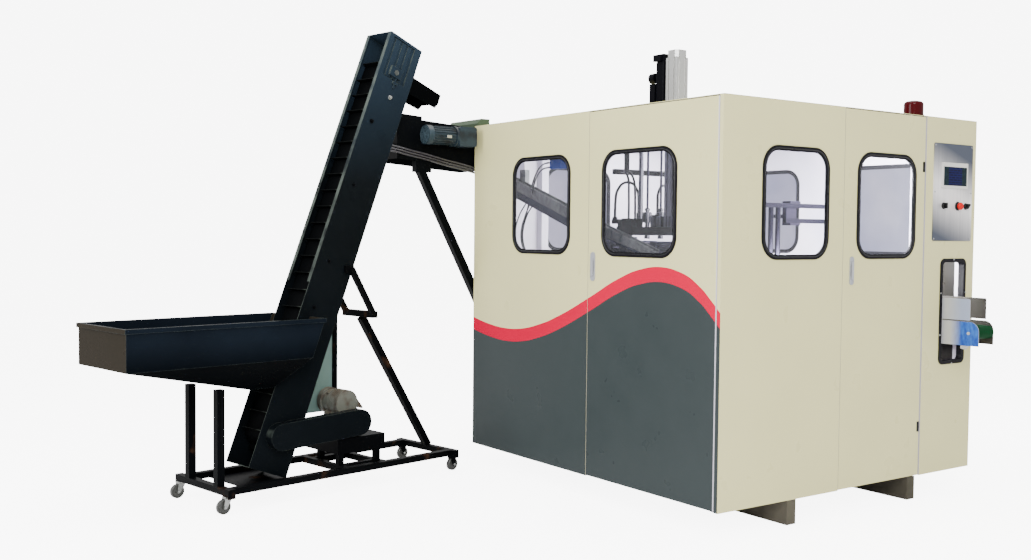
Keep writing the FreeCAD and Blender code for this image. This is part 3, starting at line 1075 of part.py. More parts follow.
def build_lift_drive():
    """Gearmotor on the stand, discharge chute and control box."""
    u, z = GEARBOX
    box_points = [(790, 262), (960, 262), (960, 330), (925, 410, 20), (815, 410, 20), (790, 380)]
    gearbox = prism(box_points, "y", -62, 62)
    shaft = rod((u, -150, z), (u, -60, z), 14)
    body = rod((850, -70, 440), (850, 100, 440), 62)
    fan = rod((850, 78, 440), (850, 110, 440), 72)
    ribs = [rod((850, v, 440), (850, v + 5, 440), 72) for v in range(-72, 30, 13)]
    terminal = prism([(905, 425), (992, 386, 6), (909, 490, 6), (800, 490)], "y", -46, 60)
    keep("lift_motor", lifted(fuse([gearbox, shaft, body, fan, terminal] + ribs)))

    s_low, s_high = 2246.0, 2350.0
    low, high = trough_point(s_low, TROUGH_DEEP), trough_point(s_high, TROUGH_DEEP)
    side = [low, (1306, 2284) if high[0] > 1306 else high, (1519, 2189), (1499, 2136), (1473, 2111)]
    plates = [prism(side, "y", v, v + 3) for v in (-75, 72)]
    floor = prism([low, (1395, 2141), (1395, 2145), (low[0], low[1] + 4)], "y", -72, 72)
    end = prism([(1516, 2190), (1519, 2189), (1499, 2136), (1496, 2137)], "y", -72, 72)
    flange = [trough_slab((s_low - 20, s_high + 20), (TROUGH_DEEP + 22, TROUGH_DEEP + 25), v)
              for v in ((-108, -60), (60, 108))]
    joined = [trough_slab((s_low, s_high), (TROUGH_DEEP, TROUGH_DEEP + 25), v)
              for v in ((-75, -72), (72, 75))]
    keep("lift_chute", lifted(fuse(plates + [floor, end] + flange + joined)))

    cabinet = prism(rectangle((600, 890), (373, 870)), "y", 124, 236, 8)
    door = prism(rectangle((600, 890), (373, 870), -8), "y", 236, 238, 6)
    arms = [box(span, (110, 124), (low_z, low_z + 24))
            for span, low_z in (((440, 640), 430), ((560, 700), 790))]
    keep("lift_control_box", lifted(fuse([cabinet, door] + arms)))


# -------------------------------------------------------------------- output
def build_all():
    """Every piece, moved so that the origin is under the middle of the model."""
    for step in (build_skids, build_frame, build_shell, build_hinges, build_doors, build_controls,
                 build_outfeed, build_press, build_stretch, build_hoses, build_transfer,
                 build_infeed, build_feeder, build_trough, build_belt, build_hopper,
                 build_lift_frame, build_casters, build_lift_drive):
        step()
    whole = Part.Compound(list(nodes.values())).BoundBox
    middle = V(-(whole.XMin + whole.XMax) / 2, -(whole.YMin + whole.YMax) / 2, -whole.ZMin)
    for shape in nodes.values():
        shape.translate(middle)
    return middle


SHIFT = build_all()
print(f"moved by {SHIFT.x:.3f} {SHIFT.y:.3f} {SHIFT.z:.3f}, {len(nodes)} pieces")
for node_name, node_shape in nodes.items():
    if not node_shape.isValid():
        print("not valid:", node_name)
    node_shape.exportStep(f"parts/{node_name}.step")
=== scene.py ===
import math
import bmesh
import bpy
from mathutils import Matrix, Vector


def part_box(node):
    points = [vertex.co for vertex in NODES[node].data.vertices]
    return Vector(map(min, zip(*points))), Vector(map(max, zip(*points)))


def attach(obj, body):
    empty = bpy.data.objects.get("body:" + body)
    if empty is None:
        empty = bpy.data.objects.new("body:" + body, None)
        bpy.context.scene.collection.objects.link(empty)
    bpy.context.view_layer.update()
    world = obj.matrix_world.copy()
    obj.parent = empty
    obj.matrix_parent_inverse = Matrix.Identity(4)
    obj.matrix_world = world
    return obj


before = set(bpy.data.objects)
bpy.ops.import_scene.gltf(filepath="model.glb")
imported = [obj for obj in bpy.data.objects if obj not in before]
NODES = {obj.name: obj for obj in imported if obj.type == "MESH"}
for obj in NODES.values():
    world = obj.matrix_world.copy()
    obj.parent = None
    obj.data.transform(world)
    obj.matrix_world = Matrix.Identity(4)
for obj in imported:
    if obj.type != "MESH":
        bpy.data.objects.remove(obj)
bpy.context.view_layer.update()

# Lengths are metres.  corner() takes the cabinet's own coordinates: x to the right
# along its front face, y back along its left face, z up from the floor.
CORNER = Vector((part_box("front_panels")[0].x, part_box("front_panels")[0].y, 0.0))
WIDTH, DEPTH, TOP = 1.950, 2.040, 2.020

# The elevator's own coordinates: u along its base, v across it, z up; and along its
# trough: s up the slope, side across it from the upper edge.
LIFT_TURN = math.radians(10.0)
LIFT_AT = (-1.725, 1.888)
TROUGH_LEAN = math.radians(68.53)
TROUGH_FOOT = (0.2065, 0.1795)


def corner(x, y, z):
    """Point given in the cabinet's own coordinates."""
    return CORNER + Vector((x, y, z))


def lift(u, v, z):
    """Point given in the elevator's own coordinates."""
    cos, sin = math.cos(LIFT_TURN), math.sin(LIFT_TURN)
    return corner(LIFT_AT[0] + u * cos - v * sin, LIFT_AT[1] + u * sin + v * cos, z)


def lift_way(u, v, z):
    """Direction given in the elevator's own coordinates."""
    return lift(u, v, z) - lift(0, 0, 0)


def trough(s, side, v):
    """Point given along and across the trough."""
    cos, sin = math.cos(TROUGH_LEAN), math.sin(TROUGH_LEAN)
    return lift(TROUGH_FOOT[0] + s * cos + side * sin, v, TROUGH_FOOT[1] + s * sin - side * cos)


TROUGH_IN = trough(0, 1, 0) - trough(0, 0, 0)
LIFT_ALONG = lift_way(1, 0, 0)
LIFT_ACROSS = lift_way(0, 1, 0)


# ----------------------------------------------------------------- materials
def srgb(r, g, b):
    """Linear colour of an 8-bit display colour."""
    def channel(c):
        c /= 255.0
        return c / 12.92 if c <= 0.04045 else ((c + 0.055) / 1.055) ** 2.4
    return (channel(r), channel(g), channel(b), 1.0)


MIX_FACTOR, MIX_A, MIX_B = 0, 6, 7      # sockets of a Mix node that mixes colours


class Graph:
    """A material's node tree with short calls to add and link nodes."""

    def __init__(self, name):
        self.name = name
        self.material = bpy.data.materials.new(name)
        self.material.use_nodes = True
        self.tree = self.material.node_tree
        self.shader = self.tree.nodes["Principled BSDF"]
        self.coords = self.tree.nodes.new("ShaderNodeTexCoord")

    def node(self, kind, **settings):
        """Add a node and set its properties."""
        made = self.tree.nodes.new(kind)
        for key, value in settings.items():
            setattr(made, key, value)
        return made

    def link(self, source, target):
        self.tree.links.new(source, target)

    def feed(self, socket, value):
        """Set a socket to a number or colour, or link it to another socket."""
        if isinstance(value, (int, float, tuple)):
            socket.default_value = value
        else:
            self.link(value, socket)

    def set(self, **values):
        """Feed sockets of the surface shader, with _ for a space in their names."""
        for key, value in values.items():
            self.feed(self.shader.inputs[key.replace("_", " ")], value)

    def colour(self):
        """What now feeds the base colour."""
        return self.shader.inputs["Base Color"].links[0].from_socket

    def noise(self, scale, detail=3.0, stretch=(1, 1, 1)):
        """Noise over the piece's own coordinates, in metres."""
        mapping = self.node("ShaderNodeMapping")
        mapping.inputs["Scale"].default_value = stretch
        texture = self.node("ShaderNodeTexNoise")
        texture.inputs["Scale"].default_value = scale
        texture.inputs["Detail"].default_value = detail
        self.link(self.coords.outputs["Object"], mapping.inputs["Vector"])
        self.link(mapping.outputs["Vector"], texture.inputs["Vector"])
        return texture.outputs["Fac"]

    def spread(self, value, low, high, out_low=0.0, out_high=1.0):
        """Map a value's range onto another, clamped; noise lies mostly between 0.3 and 0.7."""
        node = self.node("ShaderNodeMapRange", clamp=True)
        self.link(value, node.inputs["Value"])
        node.inputs["From Min"].default_value = low
        node.inputs["From Max"].default_value = high
        node.inputs["To Min"].default_value = out_low
        node.inputs["To Max"].default_value = out_high
        return node.outputs["Result"]

    def math(self, operation, a, b=None):
        """Arithmetic on sockets or numbers."""
        node = self.node("ShaderNodeMath", operation=operation)
        for socket, value in zip(node.inputs, (a, b)):
            if value is not None:
                self.feed(socket, value)
        return node.outputs["Value"]

    def mix(self, factor, a, b):
        """Blend two colours, each a tuple or a socket."""
        node = self.node("ShaderNodeMix", data_type="RGBA")
        for index, value in ((MIX_FACTOR, factor), (MIX_A, a), (MIX_B, b)):
            self.feed(node.inputs[index], value)
        return node.outputs[2]

    def bump(self, height, strength=0.1, distance=0.001, soft=0.0):
        """Relief from a height; soft rounds hard edges by that radius in the shading."""
        node = self.node("ShaderNodeBump")
        node.inputs["Strength"].default_value = strength
        node.inputs["Distance"].default_value = distance
        self.link(height, node.inputs["Height"])
        if soft:
            self.link(self.rounded(soft), node.inputs["Normal"])
        self.link(node.outputs["Normal"], self.shader.inputs["Normal"])

    def rounded(self, radius):
        """Normal whose sharp edges are rounded by a radius."""
        node = self.node("ShaderNodeBevel", samples=4)
        node.inputs["Radius"].default_value = radius
        return node.outputs["Normal"]

    def edges(self, radius):
        """1 on sharp edges, 0 on flats."""
        geometry = self.node("ShaderNodeNewGeometry")
        dot = self.node("ShaderNodeVectorMath", operation="DOT_PRODUCT")
        self.link(self.rounded(radius), dot.inputs[0])
        self.link(geometry.outputs["True Normal"], dot.inputs[1])
        return self.spread(self.math("SUBTRACT", 1.0, dot.outputs["Value"]), 0.01, 0.10)

    def axis(self, index, output="Object"):
        """One component of the piece's coordinates or of its normal."""
        node = self.node("ShaderNodeSeparateXYZ")
        self.link(self.coords.outputs[output], node.inputs["Vector"])
        return node.outputs[index]

    def along(self, direction, start=(0, 0, 0), output="Object"):
        """How far the surface lies from a point, measured along a direction."""
        dot = self.node("ShaderNodeVectorMath", operation="DOT_PRODUCT")
        self.link(self.coords.outputs[output], dot.inputs[0])
        dot.inputs[1].default_value = tuple(direction)
        offset = Vector(start).dot(Vector(direction))
        return self.math("SUBTRACT", dot.outputs["Value"], offset)

    def within(self, low, high, soft=0.0005):
        """1 inside a box given by two points of the row frame, 0 outside."""
        result = None
        for index in range(3):
            value = self.axis(index)
            up = self.spread(value, low[index] - soft, low[index] + soft)
            down = self.spread(value, high[index] - soft, high[index] + soft, 1.0, 0.0)
            both = self.math("MULTIPLY", up, down)
            result = both if result is None else self.math("MULTIPLY", result, both)
        return result


def shade(colour, dark=0.8):
    """A darker tone of a colour."""
    return tuple(c * dark for c in colour[:3]) + (1.0,)


def paint(name, colour, roughness=0.4, specular=0.5, grain=900.0, bump=0.06, mottle=0.93,
          soft=0.0):
    """Sprayed paint with a fine orange peel and a slow drift of tone and gloss."""
    g = Graph(name)
    tone = g.spread(g.noise(2.5), 0.35, 0.65)
    g.set(Base_Color=g.mix(tone, shade(colour, mottle), colour), Specular_IOR_Level=specular)
    g.set(Roughness=g.spread(g.noise(6.0), 0.3, 0.7, max(roughness - 0.08, 0.02), roughness + 0.08))
    g.bump(g.noise(grain, 2.0), bump, 0.0004, soft)
    return g


def metal(name, colour, roughness=0.3, stretch=(1, 1, 40), scale=30.0, bump=0.03, soft=0.0):
    """Bare metal with brushing drawn out along one direction."""
    g = Graph(name)
    lines = g.noise(scale, 5.0, stretch)
    g.set(Base_Color=g.mix(g.spread(lines, 0.3, 0.7), shade(colour, 0.86), colour), Metallic=1.0,
          Roughness=g.spread(lines, 0.3, 0.7, max(roughness - 0.08, 0.03), roughness + 0.1))
    g.bump(lines, bump, 0.0003, soft)
    return g


CREAM = srgb(219, 213, 156)
LINING = srgb(196, 192, 202)
SLATE = srgb(53, 60, 61)
STRIPE = srgb(203, 0, 56)
# Painted shade, dark and pale, for the wall inside the outfeed opening.
CHUTE_SHADE_DARK, CHUTE_SHADE_PALE = srgb(16, 15, 13), srgb(38, 36, 31)
CREAM_SPECULAR, SLATE_SPECULAR = 0.25, 0.1

# Top edge of the painted wave on the left face: distance back from the near corner
# against height, both in metres.
WAVE = ((0.000, 1.030), (0.067, 1.092), (0.134, 1.146), (0.268, 1.210), (0.405, 1.230),
        (0.549, 1.213), (0.698, 1.166), (0.934, 1.058), (1.187, 0.947), (1.367, 0.886),
        (1.556, 0.846), (1.700, 0.838), (1.861, 0.850), (2.040, 0.881))
WAVE_LOW, WAVE_HIGH, WAVE_LONG = 0.75, 1.30, 2.04
STRIPE_WIDTH = 0.072
SKIN = 0.0012             # depth of sheet that shows the outside colour
SHEET = 0.003             # thickness of the front sheet

# The right wall's inside that shows through the outfeed opening, darkened in patches as painted shade.
CHUTE_LOW = corner(WIDTH - 0.1, SHEET, 0.40)
CHUTE_HIGH = corner(WIDTH - SKIN, 0.62, 1.27)


def line_inside(g):
    """Pale lilac lining on every face behind the cabinet's outer skin."""
    inner = g.within(corner(SKIN, SKIN, 0.1), corner(WIDTH - SKIN, DEPTH - SKIN, TOP - SKIN), 0.0002)
    g.set(Base_Color=g.mix(inner, g.colour(), LINING))


def sheet_paint(name):
    """Semi-gloss cream, as sprayed on all of the cabinet's sheets."""
    return paint(name, CREAM, 0.34, CREAM_SPECULAR, mottle=0.965, soft=0.003)


def cream_paint(name):
    """Cream outside, pale lining inside, with patchy painted shade beside the outfeed."""
    g = sheet_paint(name)
    line_inside(g)
    # Painted shade: the wall seen through the outfeed opening is darkened in patches.
    chute = g.within(CHUTE_LOW, CHUTE_HIGH, 0.0004)
    patches = g.spread(g.noise(5.0, 4.0, (1, 1, 0.3)), 0.35, 0.65)
    g.set(Base_Color=g.mix(chute, g.colour(), g.mix(patches, CHUTE_SHADE_DARK, CHUTE_SHADE_PALE)))
    return g


def wave_paint(name):
    """Cream sides with a red stripe over slate, on the outward face only."""
    g = sheet_paint(name)
    back = g.math("SUBTRACT", g.axis(1), CORNER.y)
    curve = g.node("ShaderNodeFloatCurve")
    points = curve.mapping.curves[0].points
    places = [(y / WAVE_LONG, (z - WAVE_LOW) / (WAVE_HIGH - WAVE_LOW)) for y, z in WAVE]
    for _ in range(len(places) - 2):
        points.new(0.5, 0.5)
    for point, place in zip(points, places):
        point.location = place
        point.handle_type = "AUTO"
    curve.mapping.update()
    g.link(g.math("DIVIDE", back, WAVE_LONG), curve.inputs["Value"])
    edge = g.math("ADD", g.math("MULTIPLY", curve.outputs["Value"], WAVE_HIGH - WAVE_LOW), WAVE_LOW)
    below = g.math("SUBTRACT", edge, g.axis(2))
    outside = g.math("LESS_THAN", g.axis(0, "Normal"), -0.5)
    in_stripe = g.math("MULTIPLY", g.math("GREATER_THAN", below, 0.0), outside)
    in_slate = g.math("MULTIPLY", g.math("GREATER_THAN", below, STRIPE_WIDTH), outside)
    tone = g.spread(g.noise(3.0), 0.3, 0.7)
    red = g.mix(tone, shade(STRIPE, 0.95), STRIPE)
    slate = g.mix(tone, shade(SLATE, 0.94), SLATE)
    g.set(Base_Color=g.mix(in_slate, g.mix(in_stripe, g.colour(), red), slate))
    gloss = g.spread(in_stripe, 0, 1, CREAM_SPECULAR, 0.0)
    g.set(Specular_IOR_Level=g.math("ADD", gloss, g.math("MULTIPLY", in_slate, SLATE_SPECULAR)))
    line_inside(g)
    return g


PANE_TINT, PANE_DUST = srgb(232, 234, 242), srgb(222, 224, 232)
PANE_HAZE = 0.03                     # most dust that covers the pane
PANE_IOR = 1.25


def clear(name):
    """Thin clear sheet: see-through, with a faint uneven reflection and a little dust."""
    g = Graph(name)
    see = g.node("ShaderNodeBsdfTransparent")
    gloss = g.node("ShaderNodeBsdfGlossy")
    fog = g.node("ShaderNodeBsdfDiffuse")
    smear = g.spread(g.noise(1.6, 4.0), 0.35, 0.7)
    g.link(g.mix(smear, (1, 1, 1, 1), PANE_TINT), see.inputs["Color"])
    g.link(g.spread(smear, 0.0, 1.0, 0.02, 0.08), gloss.inputs["Roughness"])
    fog.inputs["Color"].default_value = PANE_DUST
    mirror = g.node("ShaderNodeFresnel")
    mirror.inputs["IOR"].default_value = PANE_IOR
    facing = g.math("SUBTRACT", 1.0, g.node("ShaderNodeNewGeometry").outputs["Backfacing"])
    hazed = g.node("ShaderNodeMixShader")
    g.link(g.spread(smear, 0.0, 1.0, PANE_HAZE * 0.5, PANE_HAZE), hazed.inputs[0])
    g.link(see.outputs[0], hazed.inputs[1])
    g.link(fog.outputs[0], hazed.inputs[2])
    both = g.node("ShaderNodeMixShader")
    g.link(g.math("MULTIPLY", mirror.outputs[0], facing), both.inputs[0])
    g.link(hazed.outputs[0], both.inputs[1])
    g.link(gloss.outputs[0], both.inputs[2])
    g.tree.nodes.remove(g.shader)
    output = next(n for n in g.tree.nodes if n.type == "OUTPUT_MATERIAL")
    g.link(both.outputs[0], output.inputs["Surface"])
    return g


# ------------------------------------------------------ the elevator's finishes
FRAME_PAINT, RUST = srgb(8, 9, 11), srgb(60, 42, 30)
# The pale edge colour serves both real wear on edges and a painted highlight on the trough's lips.
NAVY, NAVY_UPPER, EDGE_WEAR_AND_GLINT = srgb(13, 17, 20), srgb(36, 48, 60), srgb(80, 88, 82)
UPPER_FROM, UPPER_TO = 1.65, 2.45      # heights where the trough's paler, bluer upper tone starts and is full

HOPPER_DARK, HOPPER_LIT = srgb(4, 6, 8), srgb(21, 27, 35)
HOPPER_END, HOPPER_RIM = srgb(39, 34, 26), srgb(86, 96, 94)
HOPPER_BEND = (0.70, 0.85)           # heights over which its near side catches the light

BELT_BLACK, CLEAT_WORN = srgb(7, 8, 9), srgb(58, 64, 58)
CLEAT_TALL, TIP = 0.030, 0.007       # cleat's height and how much of it is worn
DRUM_SIDE = 0.1085                   # the drums' axes across the trough
BELT_OUT = 0.0673                    # from the drum's axis to the belt's outside
NEAR_LIP = lift(0, -0.045, 0)        # beyond it the cleats are worn


def frame_paint(name):
    """Black paint that has gone to rust in patches."""
    g = paint(name, FRAME_PAINT, 0.45, 0.05, mottle=0.7, soft=0.002)
    patches = g.spread(g.noise(7.0, 6.0), 0.62, 0.62 + 0.12)
    g.set(Base_Color=g.mix(patches, g.colour(), RUST), Roughness=g.spread(patches, 0, 1, 0.45, 0.85))
    return g


def lift_paint(name):
    """Near-black navy, paler and bluer towards the top, with bare worn edges and a painted highlight on
    the lips.
    """
    g = paint(name, NAVY, 0.34, 0.06, mottle=0.75, soft=0.002)
    height = g.spread(g.axis(2), UPPER_FROM, UPPER_TO)
    upper_tone = g.math("MULTIPLY", height, g.spread(g.noise(3.5, 5.0), 0.3, 0.7, 0.75, 1.0))
    g.set(Base_Color=g.mix(upper_tone, g.colour(), NAVY_UPPER))
    scuffed = g.math("MULTIPLY", g.edges(0.003), g.spread(g.noise(24.0, 5.0), 0.35, 0.6, 0.15, 0.9))
    # Painted highlight: the lips facing the trough's front are lightened as if catching the key light.
    lit_lips = g.spread(g.along(-TROUGH_IN, output="Normal"), 0.94, 0.99)
    lit_lips = g.math("MULTIPLY", lit_lips, g.spread(g.noise(9.0, 6.0), 0.36, 0.62, 0.1, 0.9))
    worn_and_lit = g.math("MAXIMUM", g.math("MULTIPLY", scuffed, 0.6), lit_lips)
    g.set(Base_Color=g.mix(worn_and_lit, g.colour(), EDGE_WEAR_AND_GLINT))
    return g


def hopper_paint(name):
    """Navy with a painted bluish sheen on the upper near side, brownish on the left end, bare at the
    rim.
    """
    g = paint(name, HOPPER_DARK, 0.3, 0.03, mottle=0.7, soft=0.002)
    # Painted highlight: a bluish sheen on the near side's upper part.
    high = g.spread(g.axis(2), *HOPPER_BEND)
    front = g.spread(g.along(-LIFT_ACROSS, output="Normal"), 0.8, 0.95)
    sheen = g.math("MULTIPLY", g.math("MULTIPLY", high, front),
                   g.spread(g.noise(2.2, 3.0), 0.3, 0.7, 0.5, 1.0))
    g.set(Base_Color=g.mix(sheen, g.colour(), HOPPER_LIT))
    left = g.spread(g.along(-LIFT_ALONG, output="Normal"), 0.8, 0.95)
    g.set(Base_Color=g.mix(g.math("MULTIPLY", left, 0.85), g.colour(), HOPPER_END))
    rim = g.math("MULTIPLY", g.edges(0.003), g.spread(g.noise(20.0, 5.0), 0.35, 0.6, 0.3, 1.0))
    g.set(Base_Color=g.mix(g.math("MULTIPLY", rim, 0.6), g.colour(), HOPPER_RIM))
    return g


def belt_rubber(name):
    """Black belt whose cleats are worn pale along their tips, most at the near lip."""
    g = paint(name, BELT_BLACK, 0.6, 0.03, mottle=0.7)
    tip = trough(0, DRUM_SIDE - BELT_OUT - CLEAT_TALL + TIP, 0)
    back_tip = trough(0, DRUM_SIDE + BELT_OUT + CLEAT_TALL - TIP, 0)
    front = g.spread(g.along(-TROUGH_IN, tip), -0.0005, 0.0005)
    rear = g.spread(g.along(TROUGH_IN, back_tip), -0.0005, 0.0005)
    near_end = g.spread(g.along(-LIFT_ACROSS, NEAR_LIP), 0.0, 0.03, 0.04, 1.0)
    grit = g.math("MULTIPLY", near_end, g.spread(g.noise(40.0, 4.0), 0.35, 0.6, 0.5, 1.0))
    tips = g.math("MULTIPLY", g.math("MAXIMUM", front, rear), grit)
    g.set(Base_Color=g.mix(tips, g.colour(), CLEAT_WORN))
    return g


DUST_AND_HIGHLIGHT = srgb(150, 138, 120)


def motor_shell(name, colour, grime, dust_and_light):
    """Cast housing in one paint, with patches of grime, and pale dust with painted highlight on what
    faces up.
    """
    g = paint(name, colour, 0.42, 0.25, grain=300.0, bump=0.15, mottle=0.75, soft=0.002)
    patches = g.spread(g.noise(14.0, 6.0), 0.48, 0.66)
    g.set(Base_Color=g.mix(g.math("MULTIPLY", patches, 0.8), g.colour(), grime))
    # Dust and painted highlight: faces that look up are mixed towards a pale dust colour.
    top = g.spread(g.axis(2, "Normal"), 0.35, 0.9)
    g.set(Base_Color=g.mix(g.math("MULTIPLY", top, dust_and_light), g.colour(), DUST_AND_HIGHLIGHT))
    return g


# -------------------------------------------- finishes of the operator side, in metres
# The near-white plate colour is a painted reflection.
PLATE_STEEL, PLATE_GLARE = srgb(98, 104, 118), srgb(248, 244, 242)
GLARE_MIDDLE = corner(1.74, 0, 1.60)
GLARE_SLANT = (0.35, 0, 1)          # across the band of painted reflection

DISPLAY_MIDDLE = corner(1.751, 0, 1.7115)
DISPLAY_SIDES = (0.060, 0.0615)      # from the middle to where the teal side bands begin
BLOCK_WIDE, BLOCK_TALL, BLOCK_GAP = 0.034, 0.013, 0.0014
BLOCK_NAVY, BLOCK_DARK, GAP_BLUE = srgb(9, 10, 50), srgb(6, 7, 38), srgb(17, 22, 80)
TEAL_DARK, TEAL = srgb(10, 24, 30), srgb(18, 38, 44)

# The far steel colour is painted shade for the plates deep in the outfeed opening.
SIDE_STEEL, FAR_STEEL_SHADE, UPPER_BLUE = srgb(186, 186, 190), srgb(50, 47, 41), srgb(112, 140, 206)
FILM_DEEP, FILM_PALE = srgb(4, 62, 168), srgb(44, 112, 206)
LOWER_PLATE = corner(1.6675, -0.30, 0.81), corner(1.6685, 0.02, 0.9415)
UPPER_PLATE = corner(1.6675, -0.30, 0.9425), corner(1.6685, 0.02, 1.09)
FAR_PLATES = corner(1.80, -0.4, 0.8), corner(1.87, 0.5, 1.07)


def operator_steel(name):
    """Brushed plate with a painted reflection, a bright band across its middle."""
    g = metal(name, PLATE_STEEL, 0.36, (1, 1, 26), 44.0)
    # Painted reflection: a bright band, streaked along the brushing, across the plate's middle.
    up = g.math("ABSOLUTE", g.along(GLARE_SLANT, GLARE_MIDDLE))
    bright = g.spread(up, 0.03, 0.25, 1.0, 0.0)
    streaks = g.spread(g.noise(90.0, 3.0, (1, 1, 0.02)), 0.3, 0.7, 0.82, 1.0)
    bright = g.math("MULTIPLY", bright, streaks)
    g.set(Base_Color=g.mix(bright, g.colour(), PLATE_GLARE),
          Metallic=g.spread(bright, 0.2, 1.0, 1.0, 0.15))
    return g


def display_glass(name):
    """Navy picture with paler blocks between teal bands, behind dull glass."""
    g = Graph(name)
    sideways = g.along((1, 0, 0), DISPLAY_MIDDLE)
    upward = g.along((0, 0, 1), DISPLAY_MIDDLE)
    band = g.spread(g.math("ABSOLUTE", sideways), *DISPLAY_SIDES)
    rows = g.node("ShaderNodeTexBrick")
    for key, value in (("Scale", 1.0), ("Brick Width", BLOCK_WIDE), ("Row Height", BLOCK_TALL),
                       ("Mortar Size", BLOCK_GAP), ("Color1", BLOCK_NAVY), ("Color2", BLOCK_DARK),
                       ("Mortar", GAP_BLUE)):
        rows.inputs[key].default_value = value
    flat = g.node("ShaderNodeCombineXYZ")
    g.link(sideways, flat.inputs[0])
    g.link(upward, flat.inputs[1])
    g.link(flat.outputs[0], rows.inputs["Vector"])
    teal = g.mix(g.spread(g.noise(60.0), 0.3, 0.7), TEAL_DARK, TEAL)
    g.set(Base_Color=g.mix(band, rows.outputs["Color"], teal), Roughness=0.2,
          Specular_IOR_Level=0.08)
    g.bump(g.noise(300.0), 0.02, 0.0002)
    return g


def film_steel(name):
    """Bright side plates with painted shade on the far side; the near lower one wears its blue film."""
    g = metal(name, SIDE_STEEL, 0.42, (1, 30, 1), 26.0, soft=0.001)
    g.set(Metallic=0.2)
    outward = g.along((0, -1, 0), CORNER)
    low = g.within(*LOWER_PLATE, 0.0003)
    low = g.math("MULTIPLY", low, g.spread(outward, 0.055, 0.12))
    creases = g.spread(g.noise(26.0, 5.0, (1, 2.5, 1)), 0.32, 0.68)
    film = g.mix(creases, FILM_DEEP, FILM_PALE)
    high = g.within(*UPPER_PLATE, 0.0003)
    high = g.math("MULTIPLY", high, g.spread(outward, 0.03, 0.12, 0.0, 0.5))
    g.set(Base_Color=g.mix(high, g.colour(), UPPER_BLUE))
    g.set(Base_Color=g.mix(low, g.colour(), film))
    # Painted shade: the far plates deep in the outfeed opening are darkened.
    far = g.within(*FAR_PLATES)
    g.set(Base_Color=g.mix(g.math("MULTIPLY", far, 0.98), g.colour(), FAR_STEEL_SHADE))
    return g


# --------------------------------------- finishes of the blow station and the feeder
CHROME_LIT, CHROME_SHADED = srgb(246, 246, 250), srgb(92, 92, 102)
GRIP_STEEL = srgb(178, 180, 186)
# The dark and pale streak tones are painted shade for the column inside the cabinet.
COLUMN, INSIDE_SHADE_DARK, INSIDE_SHADE_PALE = srgb(214, 214, 212), srgb(38, 37, 50), srgb(128, 128, 142)
SHADE_ENDS = (1.98, 2.02)               # heights over which the painted shade inside the cabinet gives way to the bright column

RAIL_GREY, RAIL_GRIME = srgb(104, 106, 106), srgb(52, 52, 54)
RAIL_UNDER, BOX_BLUE = srgb(20, 23, 46), srgb(18, 52, 128)
RAIL_TOP = corner(0.125, 1.008, 1.433)
RAIL_NORMAL = (0, -0.2573, 0.9663)
UNDER_DEPTH = (-0.052, -0.048)       # from the rails' top to where their lower part begins
BLUE_BOX = corner(0.079, 1.299, 1.741), corner(0.151, 1.401, 1.968)

# The grey cable colour is a painted highlight for the cables outside the cabinet.
HOSE_BLACK, CABLE_HIGHLIGHT_GREY = srgb(8, 9, 11), srgb(58, 56, 62)
BRIDGE_BLACK, HOOD_OLIVE = srgb(12, 14, 16), srgb(70, 84, 66)
HOOD = corner(0.029, 2.041, 1.989), corner(0.7, 2.6, 2.08)


def round_metal(name):
    """Polished bar, bright on the side that faces the front of the cabinet."""
    g = metal(name, CHROME_SHADED, 0.14, (1, 1, 3), 60.0, 0.01)
    ahead = g.along((0.25, -1, 0), output="Normal")
    lit_band = g.math("MULTIPLY", g.spread(ahead, 0.55, 0.80), g.spread(ahead, 0.96, 1.0, 1.0, 0.5))
    g.set(Base_Color=g.mix(lit_band, g.colour(), CHROME_LIT))
    return g


def grip_steel(name):
    """Satin stainless of the door grips."""
    g = metal(name, GRIP_STEEL, 0.42, (1, 1, 12), 50.0, soft=0.001)
    g.set(Metallic=0.35)
    return g


def column_metal(name):
    """Bright extrusion above the roof; inside the cabinet it wears streaked painted shade."""
    g = metal(name, COLUMN, 0.36, (1, 1, 20), soft=0.001)
    # Painted shade: below the roof the column is darkened, in streaks.
    inside = g.spread(g.axis(2), *SHADE_ENDS, 1.0, 0.0)
    streaks = g.spread(g.noise(48.0, 3.0, (1, 1, 0.02)), 0.42, 0.6)
    g.set(Base_Color=g.mix(inside, g.colour(), g.mix(streaks, INSIDE_SHADE_DARK, INSIDE_SHADE_PALE)))
    return g


def rail_steel(name):
    """Dull sheet with grime, darker below, and the blue box at the rails' upper end."""
    g = metal(name, RAIL_GREY, 0.5, (1, 1, 1), 30.0, soft=0.001)
    grime = g.spread(g.noise(36.0, 6.0), 0.4, 0.62)
    g.set(Base_Color=g.mix(g.math("MULTIPLY", grime, 0.6), g.colour(), RAIL_GRIME),
          Specular_IOR_Level=0.1)
    under = g.spread(g.along(RAIL_NORMAL, RAIL_TOP), *UNDER_DEPTH, 1.0, 0.0)
    g.set(Base_Color=g.mix(under, g.colour(), RAIL_UNDER))
    box = g.within(*BLUE_BOX, 0.0003)
    g.set(Base_Color=g.mix(box, g.colour(), BOX_BLUE), Metallic=g.spread(box, 0, 1, 0.6, 0.0))
    return g


def cable_cover(name):
    """Black plastic hoses; the cables outside the cabinet get a greyer colour as painted highlight, and
    more gloss.
    """
    g = paint(name, HOSE_BLACK, 0.3, 0.3, grain=300.0)
    outside = g.spread(g.along((-1, 0, 0), CORNER), 0.0, 0.002)
    # Painted highlight: cables outside the cabinet are greyed.
    g.set(Base_Color=g.mix(g.math("MULTIPLY", outside, 0.7), g.colour(), CABLE_HIGHLIGHT_GREY),
          Specular_IOR_Level=g.spread(outside, 0, 1, 0.3, 0.7))
    return g


